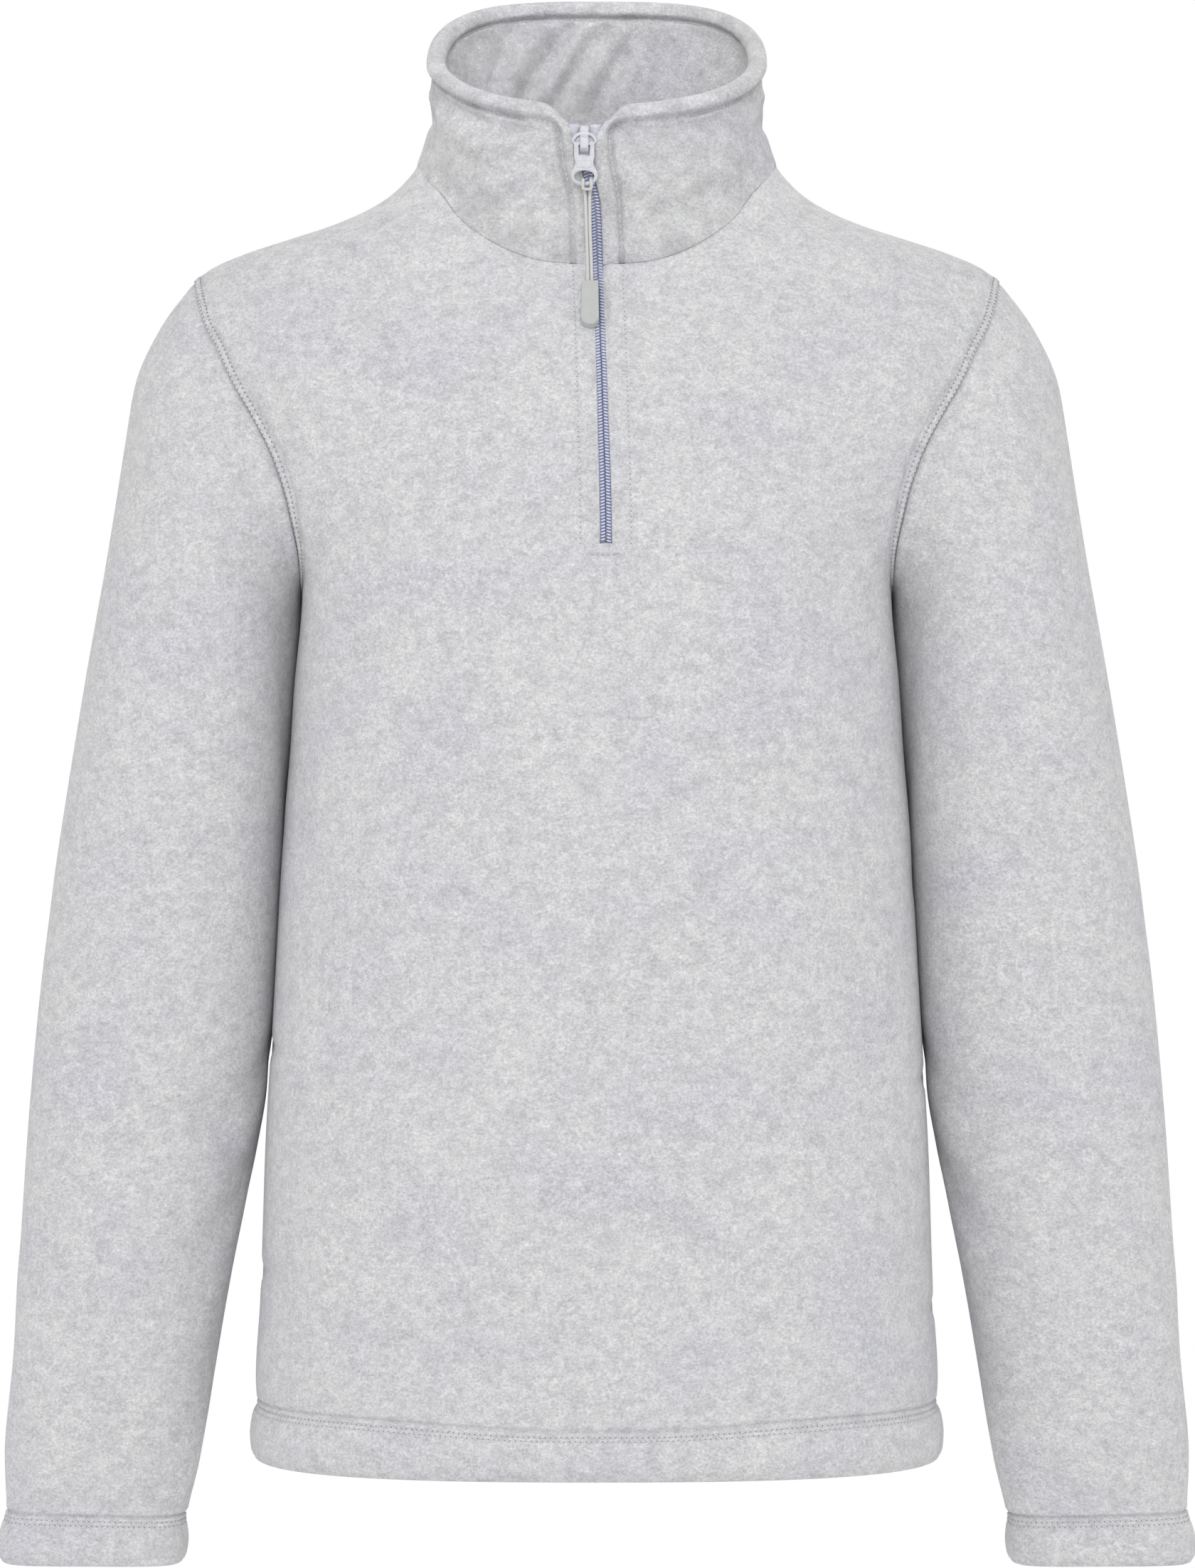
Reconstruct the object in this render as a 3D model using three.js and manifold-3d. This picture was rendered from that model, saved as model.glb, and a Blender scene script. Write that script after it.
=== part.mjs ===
// A quarter-zip fleece pullover with a stand collar, in its worn, hollow form.
// Millimetres. +Z is up, the front faces -Y, and the wearer's left side is at +X.
// The origin is the middle of the neck base, level with the tops of the shoulders.
import * as THREE from 'three';
import Module from 'manifold-3d';
import { mergeVertices } from 'three/addons/utils/BufferGeometryUtils.js';

const wasm = await Module();
wasm.setup();

// ---------------------------------------------------------------- driving dimensions
const SEAM_GAP = 0.3;            // between two pieces of cloth at a seam
const HEM_BOTTOM = -663.5;       // lower edge of the body
const HEM_STITCH = -637;         // top row of the hem's coverstitch
const ARMPIT = -214;             // bottom of the armhole
const SHOULDER_TIP = -55;        // outer end of the shoulder seam
const YOKE_AT_CENTRE = -82;      // where the rows of the panels begin to fan out to the neckline
const SLIT_BOTTOM = -196;        // lower end of the zip's slit
const CUFF_BOTTOM = -721.5;
const CLOTH_WALL = 2.6;
const SLEEVE_CLEARANCE = 0.45;   // from the armhole edge to the sleeve's first ring
const COLUMNS_PER_HALF = 10;     // cells from the centre of a panel to its side

// Horizontal sections of the body. Height, half width at the side seam, depth to the front and to
// the back, how square the oval is (2 is an ellipse) and how thick the cloth is there.
const body = curves(['height', 'halfWidth', 'front', 'back', 'squareness', 'wall'], [
  [-663.5, 178.4, 119.0, 117.0, 2.70, 4.6],
  [-650.0, 179.6, 120.6, 118.4, 2.70, 4.8],
  [-641.0, 178.4, 119.8, 117.4, 2.68, 4.6],
  [-635.0, 176.0, 118.0, 115.6, 2.65, 3.0],
  [-622.0, 176.6, 118.8, 115.6, 2.62, 2.6],
  [-580.0, 174.2, 118.4, 113.0, 2.60, 2.6],
  [-500.0, 171.4, 117.4, 107.0, 2.55, 2.6],
  [-420.0, 167.0, 116.4, 103.0, 2.55, 2.6],
  [-340.0, 162.4, 116.4, 104.0, 2.60, 2.6],
  [-270.0, 157.4, 118.0, 109.0, 2.76, 2.6],
  [-214.0, 152.2, 118.6, 112.6, 3.00, 2.6],
  [-204.0, 154.7, 118.2, 112.8, 2.85, 2.6],
  [-175.0, 173.0, 116.6, 112.6, 2.50, 2.6],
  [-150.0, 193.0, 113.0, 110.8, 2.30, 2.6],
  [-130.0, 208.0, 108.4, 108.0, 2.22, 2.6],
  [-111.0, 221.5, 101.4, 104.4, 2.16, 2.6],
  [-94.0, 227.5, 93.6, 100.4, 2.10, 2.6],
  [-79.0, 227.5, 86.0, 96.4, 2.05, 2.6],
  [-66.0, 221.0, 79.2, 92.6, 2.00, 2.6],
  [-55.0, 209.2, 73.0, 89.0, 2.00, 2.6],
  [-48.0, 200.6, 69.0, 86.6, 2.00, 2.6],
  [-41.0, 185.0, 64.6, 84.0, 2.00, 2.6],
  [-33.0, 161.0, 59.4, 80.8, 2.00, 2.6],
  [-26.0, 139.4, 55.6, 77.8, 2.00, 2.6],
  [-18.0, 120.6, 53.0, 74.0, 2.00, 2.6],
  [-11.0, 109.0, 52.2, 70.6, 2.00, 2.6],
  [-4.0, 101.0, 52.4, 67.6, 2.00, 2.6],
  [6.5, 93.4, 54.0, 63.4, 2.00, 2.6],
  [14.0, 92.6, 56.0, 60.0, 2.00, 2.6],
]);

// How far from the middle the armhole edge lies, on the front panel and on the back panel.
const armhole = curves(['height', 'front', 'back'], [
  [-214.0, 152.2, 152.2],
  [-204.0, 151.8, 152.6],
  [-175.0, 156.4, 158.4],
  [-151.0, 164.0, 167.4],
  [-130.0, 174.6, 178.0],
  [-111.0, 185.8, 188.2],
  [-94.0, 194.0, 195.6],
  [-79.0, 201.8, 202.8],
  [-55.0, 209.2, 209.2],
]);

// The body's largest folds, each a soft ridge or, with a negative rise, a trough. They lie at the
// same place on both sides of the middle. Facing is -1 on the front and 1 on the back; lean is in
// degrees from upright, with the top away from the middle.
const bodyFolds = foldTable(['facing', 'across', 'height', 'lean', 'length', 'width', 'rise'], [
  [-1, 146, -128, 20, 44, 13, 2.6],
  [-1, 132, -168, 14, 46, 12, -2.2],
  [-1, 128, -262, -22, 60, 20, -1.8],
  [-1, 138, -560, 6, 80, 22, 1.6],
  [1, 150, -136, 18, 46, 14, 2.4],
  [1, 128, -196, 8, 60, 18, -2.4],
  [1, 96, -392, -62, 60, 24, -2.0],
  [1, 120, -540, 4, 90, 24, 1.8],
]);

// Height of the neck seam, by the angle round the neck from centre front.
const neckline = curves(['angle', 'height'], [
  [0, -53.0],
  [19, -51.0],
  [29, -47.6],
  [39, -41.4],
  [55, -27.0],
  [68, -10.0],
  [83, 4.0],
  [90, 6.5],
  [120, 10.0],
  [150, 12.6],
  [180, 13.4],
]);

// The zip's line, by height: where it runs across the front and how far each lip stands from it.
const zipLine = curves(['height', 'across', 'lip'], [
  [-663.5, 0.0, 3.5],
  [-420.0, 1.5, 3.5],
  [-196.0, 4.6, 3.5],
  [-120.0, 2.8, 3.1],
  [-64.0, 0.8, 2.8],
  [-39.0, 0.0, 2.8],
  [-23.0, -0.8, 2.9],
  [-16.0, -2.2, 3.0],
  [-9.0, -4.0, 3.1],
  [2.0, -5.8, 3.2],
  [9.0, -6.5, 3.5],
  [13.0, -6.4, 5.6],
  [19.0, -5.6, 9.8],
  [28.0, -4.6, 13.6],
]);

// Cross-section of the folded collar: how far up it, and where its outer and inner skins stand.
const collarSkins = curves(['up', 'outer', 'inner'], [
  [0.00, 0.0, -3.8],
  [0.30, 0.2, -4.0],
  [0.60, 0.2, -4.2],
  [0.82, 0.3, -4.6],
  [0.87, -0.7, -4.8],
  [0.91, 1.3, -7.0],
  [0.955, 1.7, -7.6],
  [1.00, -1.3, -5.0],
]);
const COLLAR_LIFT = 0.45;        // from the neck edge of the panels to the collar's lower edge
const COLLAR_WALL = 4;           // two layers of cloth
const COLLAR_ROWS = [0, 0.22, 0.44, 0.66, 0.82, 0.87, 0.91, 0.955, 1];
const COLLAR_COLUMNS = 36;

// The collar's top edge is a tilted oval.
const rim = {
  halfWidth: 85.8,
  halfDepth: 71,
  forward: -6,
  height: 65.5,
  fall: 37.5,
  squarenessFront: 2.1,
  squarenessBack: 2.6,
};
const COLLAR_WAIST = -4.8;       // how far the stand is drawn in at its sides, halfway up
const COLLAR_CORNER_DROP = 0.1;  // the top corners at the zip are rounded off by this share
const COLLAR_CORNER_REACH = 6.5;

// Rings of a sleeve from the armhole to the cuff. The outer and inner ends of each ring in the
// plane of the shoulders, its half depth, how far back its middle lies and how square it is.
const sleeve = curves(['ring', 'outerX', 'outerZ', 'innerX', 'innerZ', 'halfDepth', 'back', 'squareness',
  'wall'], [
  [0, 209.4, -55.0, 152.2, -214.0, 63, 0, 2.0, 2.6],
  [1, 226.0, -77.7, 153.8, -222.0, 70, 0, 2.0, 2.6],
  [2, 239.4, -107.3, 155.0, -234.0, 73, 0, 2.0, 2.6],
  [3, 245.0, -137.0, 156.4, -250.0, 73, 0, 2.1, 2.6],
  [4, 250.0, -167.0, 158.0, -270.0, 72, 0, 2.2, 2.6],
  [5, 255.0, -198.0, 159.6, -290.0, 70, 0, 2.3, 2.6],
  [6, 265.3, -256.0, 162.4, -330.0, 66, 0, 2.4, 2.6],
  [7, 275.3, -315.0, 165.0, -370.0, 62, 0, 2.4, 2.6],
  [8, 284.2, -374.0, 167.8, -414.0, 57, -1, 2.4, 2.6],
  [9, 290.8, -433.0, 171.4, -462.0, 52, -3, 2.35, 2.6],
  [10, 295.6, -492.0, 178.2, -512.0, 47, -6, 2.3, 2.6],
  [11, 299.0, -551.0, 188.2, -563.0, 42, -9, 2.3, 2.6],
  [12, 302.4, -610.0, 197.4, -616.0, 36, -11, 2.35, 2.6],
  [13, 306.2, -662.0, 205.4, -665.0, 30, -12, 2.5, 2.6],
  [13.7, 305.4, -687.0, 211.4, -689.4, 26, -12, 2.6, 2.8],
  [14, 306.4, -693.0, 212.6, -695.4, 26, -12, 2.65, 3.6],
  [14.5, 309.8, -706.0, 212.2, -707.4, 27.4, -12, 2.7, 4.6],
  [15, 304.8, -721.5, 218.8, -721.5, 25, -12, 2.8, 4.2],
]);
const SLEEVE_ROWS = [0, 0.35, 0.8, 1.4, 2, 3, 4, 5, 6, 7, 8, 9, 10, 11, 12, 13, 13.6, 14, 14.5, 15];
const CAP_BLEND = 2.2;           // rings over which the armhole's own shape fades out of the sleeve

// Zip tape and coil, seen in cross-section.
const tape = {
  halfCoil: 2.3,
  width: 11,
  coilBelowCloth: 1.0,
  thickness: 0.9,
  behindCloth: 0.7,
  behindCollar: 1.6,
  top: 12,
};

// Slider, puller, cord and grip. Heights on the slider and puller are measured from the pivot.
const slider = {
  across: -6.3,
  pivotHeight: 7.6,
  plateHalfWidth: 6.3,
  plateTop: 7.1,
  plateBottom: -6.6,
  plateThickness: 1.2,
  plateGap: 0.7,
  pivotForward: 1.45,
  bridgeWidth: 4.2,
  bridgeTop: 5.6,
  bridgeBottom: -5.0,
  bridgeThickness: 0.9,
  noseTop: 10.2,
  noseHalfWidth: 2.0,
  lowerPlateHalfWidth: 5,
  lowerPlateDepth: 10.2,
  lowerPlateThickness: 1,
};
const puller = {
  thickness: 1.5,
  top: 0.9,
  barBottom: -0.6,
  armOuter: 5.1,
  windowHalf: 2.6,
  windowBottom: -6.5,
  armBottom: -6.9,
  neckHalf: 4.5,
  neckHeight: -9.6,
  eyeHeight: -16.3,
  eyeHalfWidth: 6.85,
  eyeHalfHeight: 5.1,
  holeHalfWidth: 5.0,
  holeHalfHeight: 2.75,
};
const cord = { diameter: 1.7, spread: 0.98, legs: 2.0, across: -4.9, steps: 78 };
const grip = { across: -3.4, top: -63.6, bottom: -86.6, halfWidth: 4.2, thickness: 4.4, clearance: 0.5 };

const colours = {
  fleece: '#d2d2d6',
  tape: '#b9bdd4',
  metal: '#dcdde4',
  cord: '#d8d7d4',
  rubber: '#cfcfcc',
};

// ---------------------------------------------------------------- helpers
// Smooth curves through the rows of a table, without overshoot. The first column is the place.
function curves(columns, rows) {
  const places = rows.map((row) => row[0]);
  const result = {};
  columns.slice(1).forEach((name, index) => {
    const values = rows.map((row) => row[index + 1]);
    const chords = values.slice(1).map((value, k) => (value - values[k]) / (places[k + 1] - places[k]));
    const slopes = values.map((value, k) => {
      if (k === 0) return chords[0];
      if (k === values.length - 1) return chords[k - 1];
      if (chords[k - 1] * chords[k] <= 0) return 0;
      return 2 / (1 / chords[k - 1] + 1 / chords[k]);
    });
    result[name] = (place) => {
      let k = 0;
      while (k < places.length - 2 && place > places[k + 1]) k += 1;
      const span = places[k + 1] - places[k];
      const t = THREE.MathUtils.clamp((place - places[k]) / span, 0, 1);
      const startWeight = (1 + 2 * t) * (1 - t) ** 2;
      const endWeight = t * t * (3 - 2 * t);
      return startWeight * values[k] + endWeight * values[k + 1]
        + span * t * (1 - t) * ((1 - t) * slopes[k] - t * slopes[k + 1]);
    };
  });
  return result;
}

function foldTable(columns, rows) {
  return rows.map((row) => Object.fromEntries(columns.map((name, k) => [name, row[k]])));
}

// How far the folds lift a place, given across and up.
function foldRise(folds, across, height) {
  return folds.reduce((sum, fold) => {
    const lean = THREE.MathUtils.degToRad(fold.lean);
    const dx = Math.abs(across) - fold.across;
    const dz = height - fold.height;
    const beside = (dx * Math.cos(lean) - dz * Math.sin(lean)) / fold.width;
    const along = (dx * Math.sin(lean) + dz * Math.cos(lean)) / fold.length;
    return sum + fold.rise * Math.exp(-(beside ** 2) - along ** 4);
  }, 0);
}

function steps(start, end, count) {
  return Array.from({ length: count }, (_, k) => start + ((end - start) * k) / count);
}

// Radius of an oval with the given half axes, along a direction measured from its depth axis.
function ovalRadius(angle, halfWidth, halfDepth, squareness) {
  const across = Math.abs(Math.sin(angle)) / halfWidth;
  const along = Math.abs(Math.cos(angle)) / halfDepth;
  return (across ** squareness + along ** squareness) ** (-1 / squareness);
}

// Outward normal of a surface given as a function of two numbers.
function normalOf(surface, u, v, stepU, stepV, outward) {
  const alongU = surface(u + stepU, v).sub(surface(u - stepU, v));
  const alongV = surface(u, v + stepV).sub(surface(u, v - stepV));
  const normal = alongU.cross(alongV).normalize();
  return normal.dot(outward) < 0 ? normal.negate() : normal;
}

// A closed wall of cloth from a grid of points on its outer skin and matching ones on its inner
// skin. `isCut(row, column)` leaves a cell out, and equal outer points are joined.
function clothGeometry(rows, isCut = () => false) {
  const outer = [];
  const inner = [];
  const known = new Map();
  const idOf = (pair) => {
    const key = pair.outer.toArray().map((value) => Math.round(value * 1e4)).join();
    if (!known.has(key)) {
      known.set(key, outer.length);
      outer.push(pair.outer);
      inner.push(pair.inner);
    }
    return known.get(key);
  };
  const skin = [];
  for (let i = 0; i + 1 < rows.length; i += 1) {
    for (let j = 0; j + 1 < rows[i].length; j += 1) {
      if (isCut(i, j)) continue;
      const [a, b] = [idOf(rows[i][j]), idOf(rows[i][j + 1])];
      const [c, d] = [idOf(rows[i + 1][j + 1]), idOf(rows[i + 1][j])];
      skin.push([a, b, c], [a, c, d]);
    }
  }
  const faces = skin.filter(([a, b, c]) => a !== b && b !== c && c !== a);
  const edges = new Set();
  faces.forEach(([a, b, c]) => [[a, b], [b, c], [c, a]].forEach((edge) => edges.add(edge.join())));
  const count = outer.length;
  const triangles = faces.flatMap(([a, b, c]) => [a, b, c, a + count, c + count, b + count]);
  edges.forEach((edge) => {
    const [a, b] = edge.split(',').map(Number);
    if (edges.has([b, a].join())) return;
    triangles.push(a, a + count, b + count, a, b + count, b);
  });
  const geometry = new THREE.BufferGeometry();
  geometry.setAttribute('position', new THREE.Float32BufferAttribute(
    [...outer, ...inner].flatMap((point) => point.toArray()), 3));
  geometry.setIndex(triangles);
  return geometry;
}

// Pull the inner skin back from a seam, so that two walls that meet at an angle stay apart.
function bevelInner(pair, neighbour, distance) {
  const along = neighbour.outer.clone().sub(pair.outer).normalize();
  pair.inner.addScaledVector(along, distance);
}

function solidOf(geometry) {
  const bare = geometry.clone();
  bare.deleteAttribute('normal');
  bare.deleteAttribute('uv');
  const merged = mergeVertices(bare, 1e-4);
  return new wasm.Manifold(new wasm.Mesh({
    numProp: 3,
    vertProperties: new Float32Array(merged.attributes.position.array),
    triVerts: new Uint32Array(merged.index.array),
  }));
}

function geometryOf(solid) {
  const mesh = solid.getMesh();
  const geometry = new THREE.BufferGeometry();
  geometry.setAttribute('position', new THREE.Float32BufferAttribute(mesh.vertProperties, 3));
  geometry.setIndex(new THREE.Uint32BufferAttribute(mesh.triVerts, 1));
  return geometry;
}

function piece(name, geometry, colour, roughness, metalness = 0) {
  const material = new THREE.MeshStandardMaterial({ color: colour, roughness, metalness });
  geometry.computeVertexNormals();
  const mesh = new THREE.Mesh(geometry, material);
  mesh.name = name;
  return mesh;
}

// ---------------------------------------------------------------- front and back
// A point on the body's outer skin. `angle` is from the centre line to the side seam.
function bodyPoint(angle, height, facing) {
  const depth = facing < 0 ? body.front(height) : body.back(height);
  const smooth = ovalRadius(angle, body.halfWidth(height), depth, body.squareness(height));
  const folds = bodyFolds.filter((fold) => fold.facing === facing);
  const radius = smooth + foldRise(folds, smooth * Math.sin(angle), height);
  return new THREE.Vector3(radius * Math.sin(angle), facing * radius * Math.cos(angle), height);
}

function bodyPair(angle, height, facing) {
  const outer = bodyPoint(angle, height, facing);
  const surface = (a, h) => bodyPoint(a, h, facing);
  const outward = new THREE.Vector3(Math.sin(angle), facing * Math.cos(angle), 0.3);
  const normal = normalOf(surface, angle, height, 1e-3, 0.2, outward);
  return { outer, inner: outer.clone().addScaledVector(normal, -body.wall(height)) };
}

// The angle at which the body's section has the given distance from the middle.
function bodyAngle(across, height, facing) {
  const depth = facing < 0 ? body.front(height) : body.back(height);
  const squareness = body.squareness(height);
  const share = Math.min(Math.abs(across) / body.halfWidth(height), 1);
  const along = depth * (1 - share ** squareness) ** (1 / squareness);
  return Math.atan2(across, Math.max(along, SEAM_GAP / 2));
}

// Rows of a panel from the hem up: the height at the centre and at the edge, and the edge's angle.
const seamAngle = (height) => Math.PI / 2 - SEAM_GAP / 2 / body.halfWidth(height);

function bodyRow(level, facing) {
  if (level.zone === 'side') {
    return { height: () => level.height, edge: seamAngle(level.height) };
  }
  if (level.zone === 'armhole') {
    const edgeHeight = THREE.MathUtils.lerp(ARMPIT, SHOULDER_TIP, level.share);
    const across = facing < 0 ? armhole.front(edgeHeight) : armhole.back(edgeHeight);
    return {
      height: (u) => THREE.MathUtils.lerp(ARMPIT, yokeHeight(u), level.share),
      edge: Math.min(bodyAngle(across, edgeHeight, facing), seamAngle(edgeHeight)),
    };
  }
  return {
    height: (u) => {
      const around = facing < 0 ? 90 * Math.abs(u) : 180 - 90 * Math.abs(u);
      return THREE.MathUtils.lerp(yokeHeight(u), neckline.height(around), level.share);
    },
    edge: Math.PI / 2 - SEAM_GAP / 2 / 100,
  };
}

function yokeHeight(u) {
  return THREE.MathUtils.lerp(YOKE_AT_CENTRE, SHOULDER_TIP, u * u);
}

const slitShare = (SLIT_BOTTOM - ARMPIT) / (YOKE_AT_CENTRE - ARMPIT);
// Rows from the armpit up to the shoulder tip, as shares of that height.
const armholeShares = [0, 0.04, slitShare, 0.26, 0.38, 0.5, 0.62, 0.74, 0.86, 0.95];
const bodyLevels = [
  ...steps(HEM_BOTTOM, HEM_STITCH, 3).map((height) => ({ zone: 'side', height })),
  ...steps(HEM_STITCH, ARMPIT, 11).map((height) => ({ zone: 'side', height })),
  ...armholeShares.map((share) => ({ zone: 'armhole', share })),
  ...[0, 0.15, 0.3, 0.45, 0.6, 0.74, 0.87, 1].map((share) => ({ zone: 'shoulder', share })),
];

function bodyGrid(facing, centreAngles) {
  return bodyLevels.map((level) => {
    const row = bodyRow(level, facing);
    const [leftCentre, rightCentre] = centreAngles(row.height(0));
    const pairAt = (u, centre) => {
      const angle = centre + Math.abs(u) * (Math.sign(u) * row.edge - centre);
      return bodyPair(angle, row.height(u), facing);
    };
    const outwards = steps(0, 1, COLUMNS_PER_HALF).concat(1);
    const left = outwards.map((u) => pairAt(-u, leftCentre)).reverse();
    const right = outwards.map((u) => pairAt(u, rightCentre));
    const pairs = [...left, ...right];
    if (level.zone !== 'side') {
      bevelInner(pairs[0], pairs[1], 0.5);
      bevelInner(pairs.at(-1), pairs.at(-2), 0.5);
    }
    return facing < 0 ? pairs : pairs.reverse();
  });
}

function bevelTop(grid) {
  grid.at(-1).forEach((pair, j) => bevelInner(pair, grid.at(-2)[j], 0.4));
  return grid;
}

function zipAngles(height) {
  const depth = body.front(height);
  const across = zipLine.across(height);
  const lip = zipLine.lip(height);
  return [Math.atan2(across - lip, depth), Math.atan2(across + lip, depth)];
}

function makeFront() {
  const slitRow = bodyLevels.findIndex((level) => level.zone === 'armhole' && level.share === slitShare);
  const isCut = (row, column) => column === COLUMNS_PER_HALF && row >= slitRow;
  const grid = bevelTop(bodyGrid(-1, zipAngles));
  return piece('front', clothGeometry(grid, isCut), colours.fleece, 0.95);
}

function makeBack() {
  const grid = bevelTop(bodyGrid(1, () => [0, 0]));
  return piece('back', clothGeometry(grid), colours.fleece, 0.95);
}

// ---------------------------------------------------------------- sleeves
// A ring of the sleeve is an oval between its outer and inner ends. Near the armhole it takes the
// armhole's own shape. `turn` goes round from the outer end over the front.
function sleevePoint(ring, turn) {
  const outer = new THREE.Vector3(sleeve.outerX(ring), 0, sleeve.outerZ(ring));
  const inner = new THREE.Vector3(sleeve.innerX(ring), 0, sleeve.innerZ(ring));
  const middle = outer.clone().add(inner).multiplyScalar(0.5);
  const half = outer.clone().sub(inner).multiplyScalar(0.5);
  const squareness = sleeve.squareness(ring);
  const radius = ovalRadius(Math.PI / 2 - turn, 1, 1, squareness);
  const along = radius * Math.cos(turn);
  const depth = -radius * Math.sin(turn) * sleeve.halfDepth(ring) + sleeve.back(ring);
  const point = middle.addScaledVector(half, along);
  point.y = depth;
  const fade = 1 - THREE.MathUtils.smoothstep(ring, 0, CAP_BLEND);
  if (fade > 0) {
    point.addScaledVector(armholeShift(turn), fade);
  }
  return point;
}

// From the first ring's plain oval to the real armhole edge of the body.
function armholeShift(turn) {
  const share = (1 - Math.cos(turn)) / 2;
  const height = THREE.MathUtils.lerp(SHOULDER_TIP, ARMPIT, share);
  const facing = Math.sin(turn) > 0 ? -1 : 1;
  const across = facing < 0 ? armhole.front(height) : armhole.back(height);
  const depth = facing < 0 ? body.front(height) : body.back(height);
  const squareness = body.squareness(height);
  const ratio = Math.min(across / body.halfWidth(height), 1);
  const edge = new THREE.Vector3(
    across + SLEEVE_CLEARANCE,
    facing * depth * (1 - ratio ** squareness) ** (1 / squareness),
    height,
  );
  const plain = new THREE.Vector3(
    THREE.MathUtils.lerp(sleeve.outerX(0), sleeve.innerX(0), share),
    -Math.sin(turn) * sleeve.halfDepth(0),
    THREE.MathUtils.lerp(sleeve.outerZ(0), sleeve.innerZ(0), share),
  );
  return edge.sub(plain);
}

// The same heights on the armhole edge as the rows of the body, so that the two edges run parallel.
const overFront = [...armholeShares, 1].map((share) => Math.acos(2 * share - 1)).reverse();
const sleeveTurns = [...overFront, ...overFront.slice(1, -1).map((turn) => 2 * Math.PI - turn).reverse()];

function sleeveGrid(side) {
  return SLEEVE_ROWS.map((ring) => {
    const middle = new THREE.Vector3(
      (sleeve.outerX(ring) + sleeve.innerX(ring)) / 2,
      sleeve.back(ring),
      (sleeve.outerZ(ring) + sleeve.innerZ(ring)) / 2,
    );
    const pairs = sleeveTurns.map((turn) => {
      const outer = sleevePoint(ring, turn);
      const along = sleevePoint(ring + 0.02, turn).sub(sleevePoint(ring - 0.02, turn));
      const around = sleevePoint(ring, turn + 1e-3).sub(sleevePoint(ring, turn - 1e-3));
      const normal = around.cross(along).normalize();
      if (normal.dot(outer.clone().sub(middle)) < 0) normal.negate();
      const inner = outer.clone().addScaledVector(normal, -sleeve.wall(ring));
      return { outer, inner };
    });
    pairs.forEach((pair) => [pair.outer, pair.inner].forEach((point) => { point.x *= side; }));
    const closed = [...pairs, pairs[0]];
    return side > 0 ? closed : closed.reverse();
  });
}

function makeSleeve(name, side) {
  const grid = sleeveGrid(side);
  grid[0].slice(0, -1).forEach((pair, j) => bevelInner(pair, grid[1][j], 0.8));
  return piece(name, clothGeometry(grid), colours.fleece, 0.95);
}

// ---------------------------------------------------------------- collar
// Angles run round the neck from centre front. The side at +X has positive angles.
function neckPoint(angle) {
  const facing = Math.cos(angle) >= 0 ? -1 : 1;
  const height = neckline.height(THREE.MathUtils.radToDeg(Math.abs(angle)));
  const fromCentre = facing < 0 ? angle : Math.sign(angle) * (Math.PI - Math.abs(angle));
  return bodyPoint(fromCentre, height, facing);
}

function rimPoint(angle) {
  const squareness = Math.cos(angle) >= 0 ? rim.squarenessFront : rim.squarenessBack;
  const radius = ovalRadius(angle, rim.halfWidth, rim.halfDepth, squareness);
  const forward = (radius * Math.cos(angle)) / rim.halfDepth;
  return new THREE.Vector3(
    radius * Math.sin(angle),
    rim.forward - rim.halfDepth * forward,
    rim.height - rim.fall * forward,
  );
}

function collarPoint(angle, up) {
  const point = neckPoint(angle).lerp(rimPoint(angle), up);
  point.z += COLLAR_LIFT;
  const waist = COLLAR_WAIST * Math.sin(angle) ** 2 * Math.sin(Math.PI * up) * (1 - 0.5 * up);
  point.x += waist * Math.sign(angle);
  return point;
}

// `plump` is 1 where the rolled edge stands full and 0 where it is pressed flat at the zip.
function collarPair(angle, up, plump) {
  const outward = new THREE.Vector3(Math.sin(angle), -Math.cos(angle), 0);
  const normal = normalOf(collarPoint, angle, up, 1e-3, 1e-3, outward);
  const base = collarPoint(angle, up);
  return {
    outer: base.clone().addScaledVector(normal, THREE.MathUtils.lerp(0, collarSkins.outer(up), plump)),
    inner: base.clone().addScaledVector(normal, THREE.MathUtils.lerp(-COLLAR_WALL, collarSkins.inner(up), plump)),
  };
}

// The angle at which the collar's front has the given distance from the middle.
function collarAngle(across, up) {
  return Math.asin(across / THREE.MathUtils.lerp(body.front(neckline.height(0)), rim.halfDepth, up));
}

// The angle at which one lip of the collar stands at the zip.
function lipAngle(up, side) {
  const { z } = collarPoint(0, up);
  return collarAngle(zipLine.across(z) + side * zipLine.lip(z), up);
}

function makeCollar() {
  const grid = COLLAR_ROWS.map((up) => {
    const start = lipAngle(up * (1 - COLLAR_CORNER_DROP), 1);
    const end = 2 * Math.PI + lipAngle(up * (1 - COLLAR_CORNER_DROP), -1);
    return steps(0, 1, COLLAR_COLUMNS).concat(1).map((share) => {
      const angle = THREE.MathUtils.lerp(start, end, share);
      const wrapped = angle > Math.PI ? angle - 2 * Math.PI : angle;
      const reach = Math.min(angle - start, end - angle) * rim.halfDepth / COLLAR_CORNER_REACH;
      const corner = Math.exp(-reach * reach);
      return collarPair(wrapped, up * (1 - COLLAR_CORNER_DROP * corner), 1 - corner);
    });
  });
  return piece('collar', clothGeometry(grid), colours.fleece, 0.95);
}

// ---------------------------------------------------------------- zip tapes
// The cloth's outer skin at a place on the front, on the panel or on the collar above it.
function frontSkin(across, height) {
  if (height < neckline.height(0)) {
    return bodyPoint(Math.atan2(across, body.front(height)), height, -1);
  }
  const up = (height - neckline.height(0)) / (rimPoint(0).z - neckline.height(0));
  return collarPoint(collarAngle(across, up), up);
}

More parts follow.
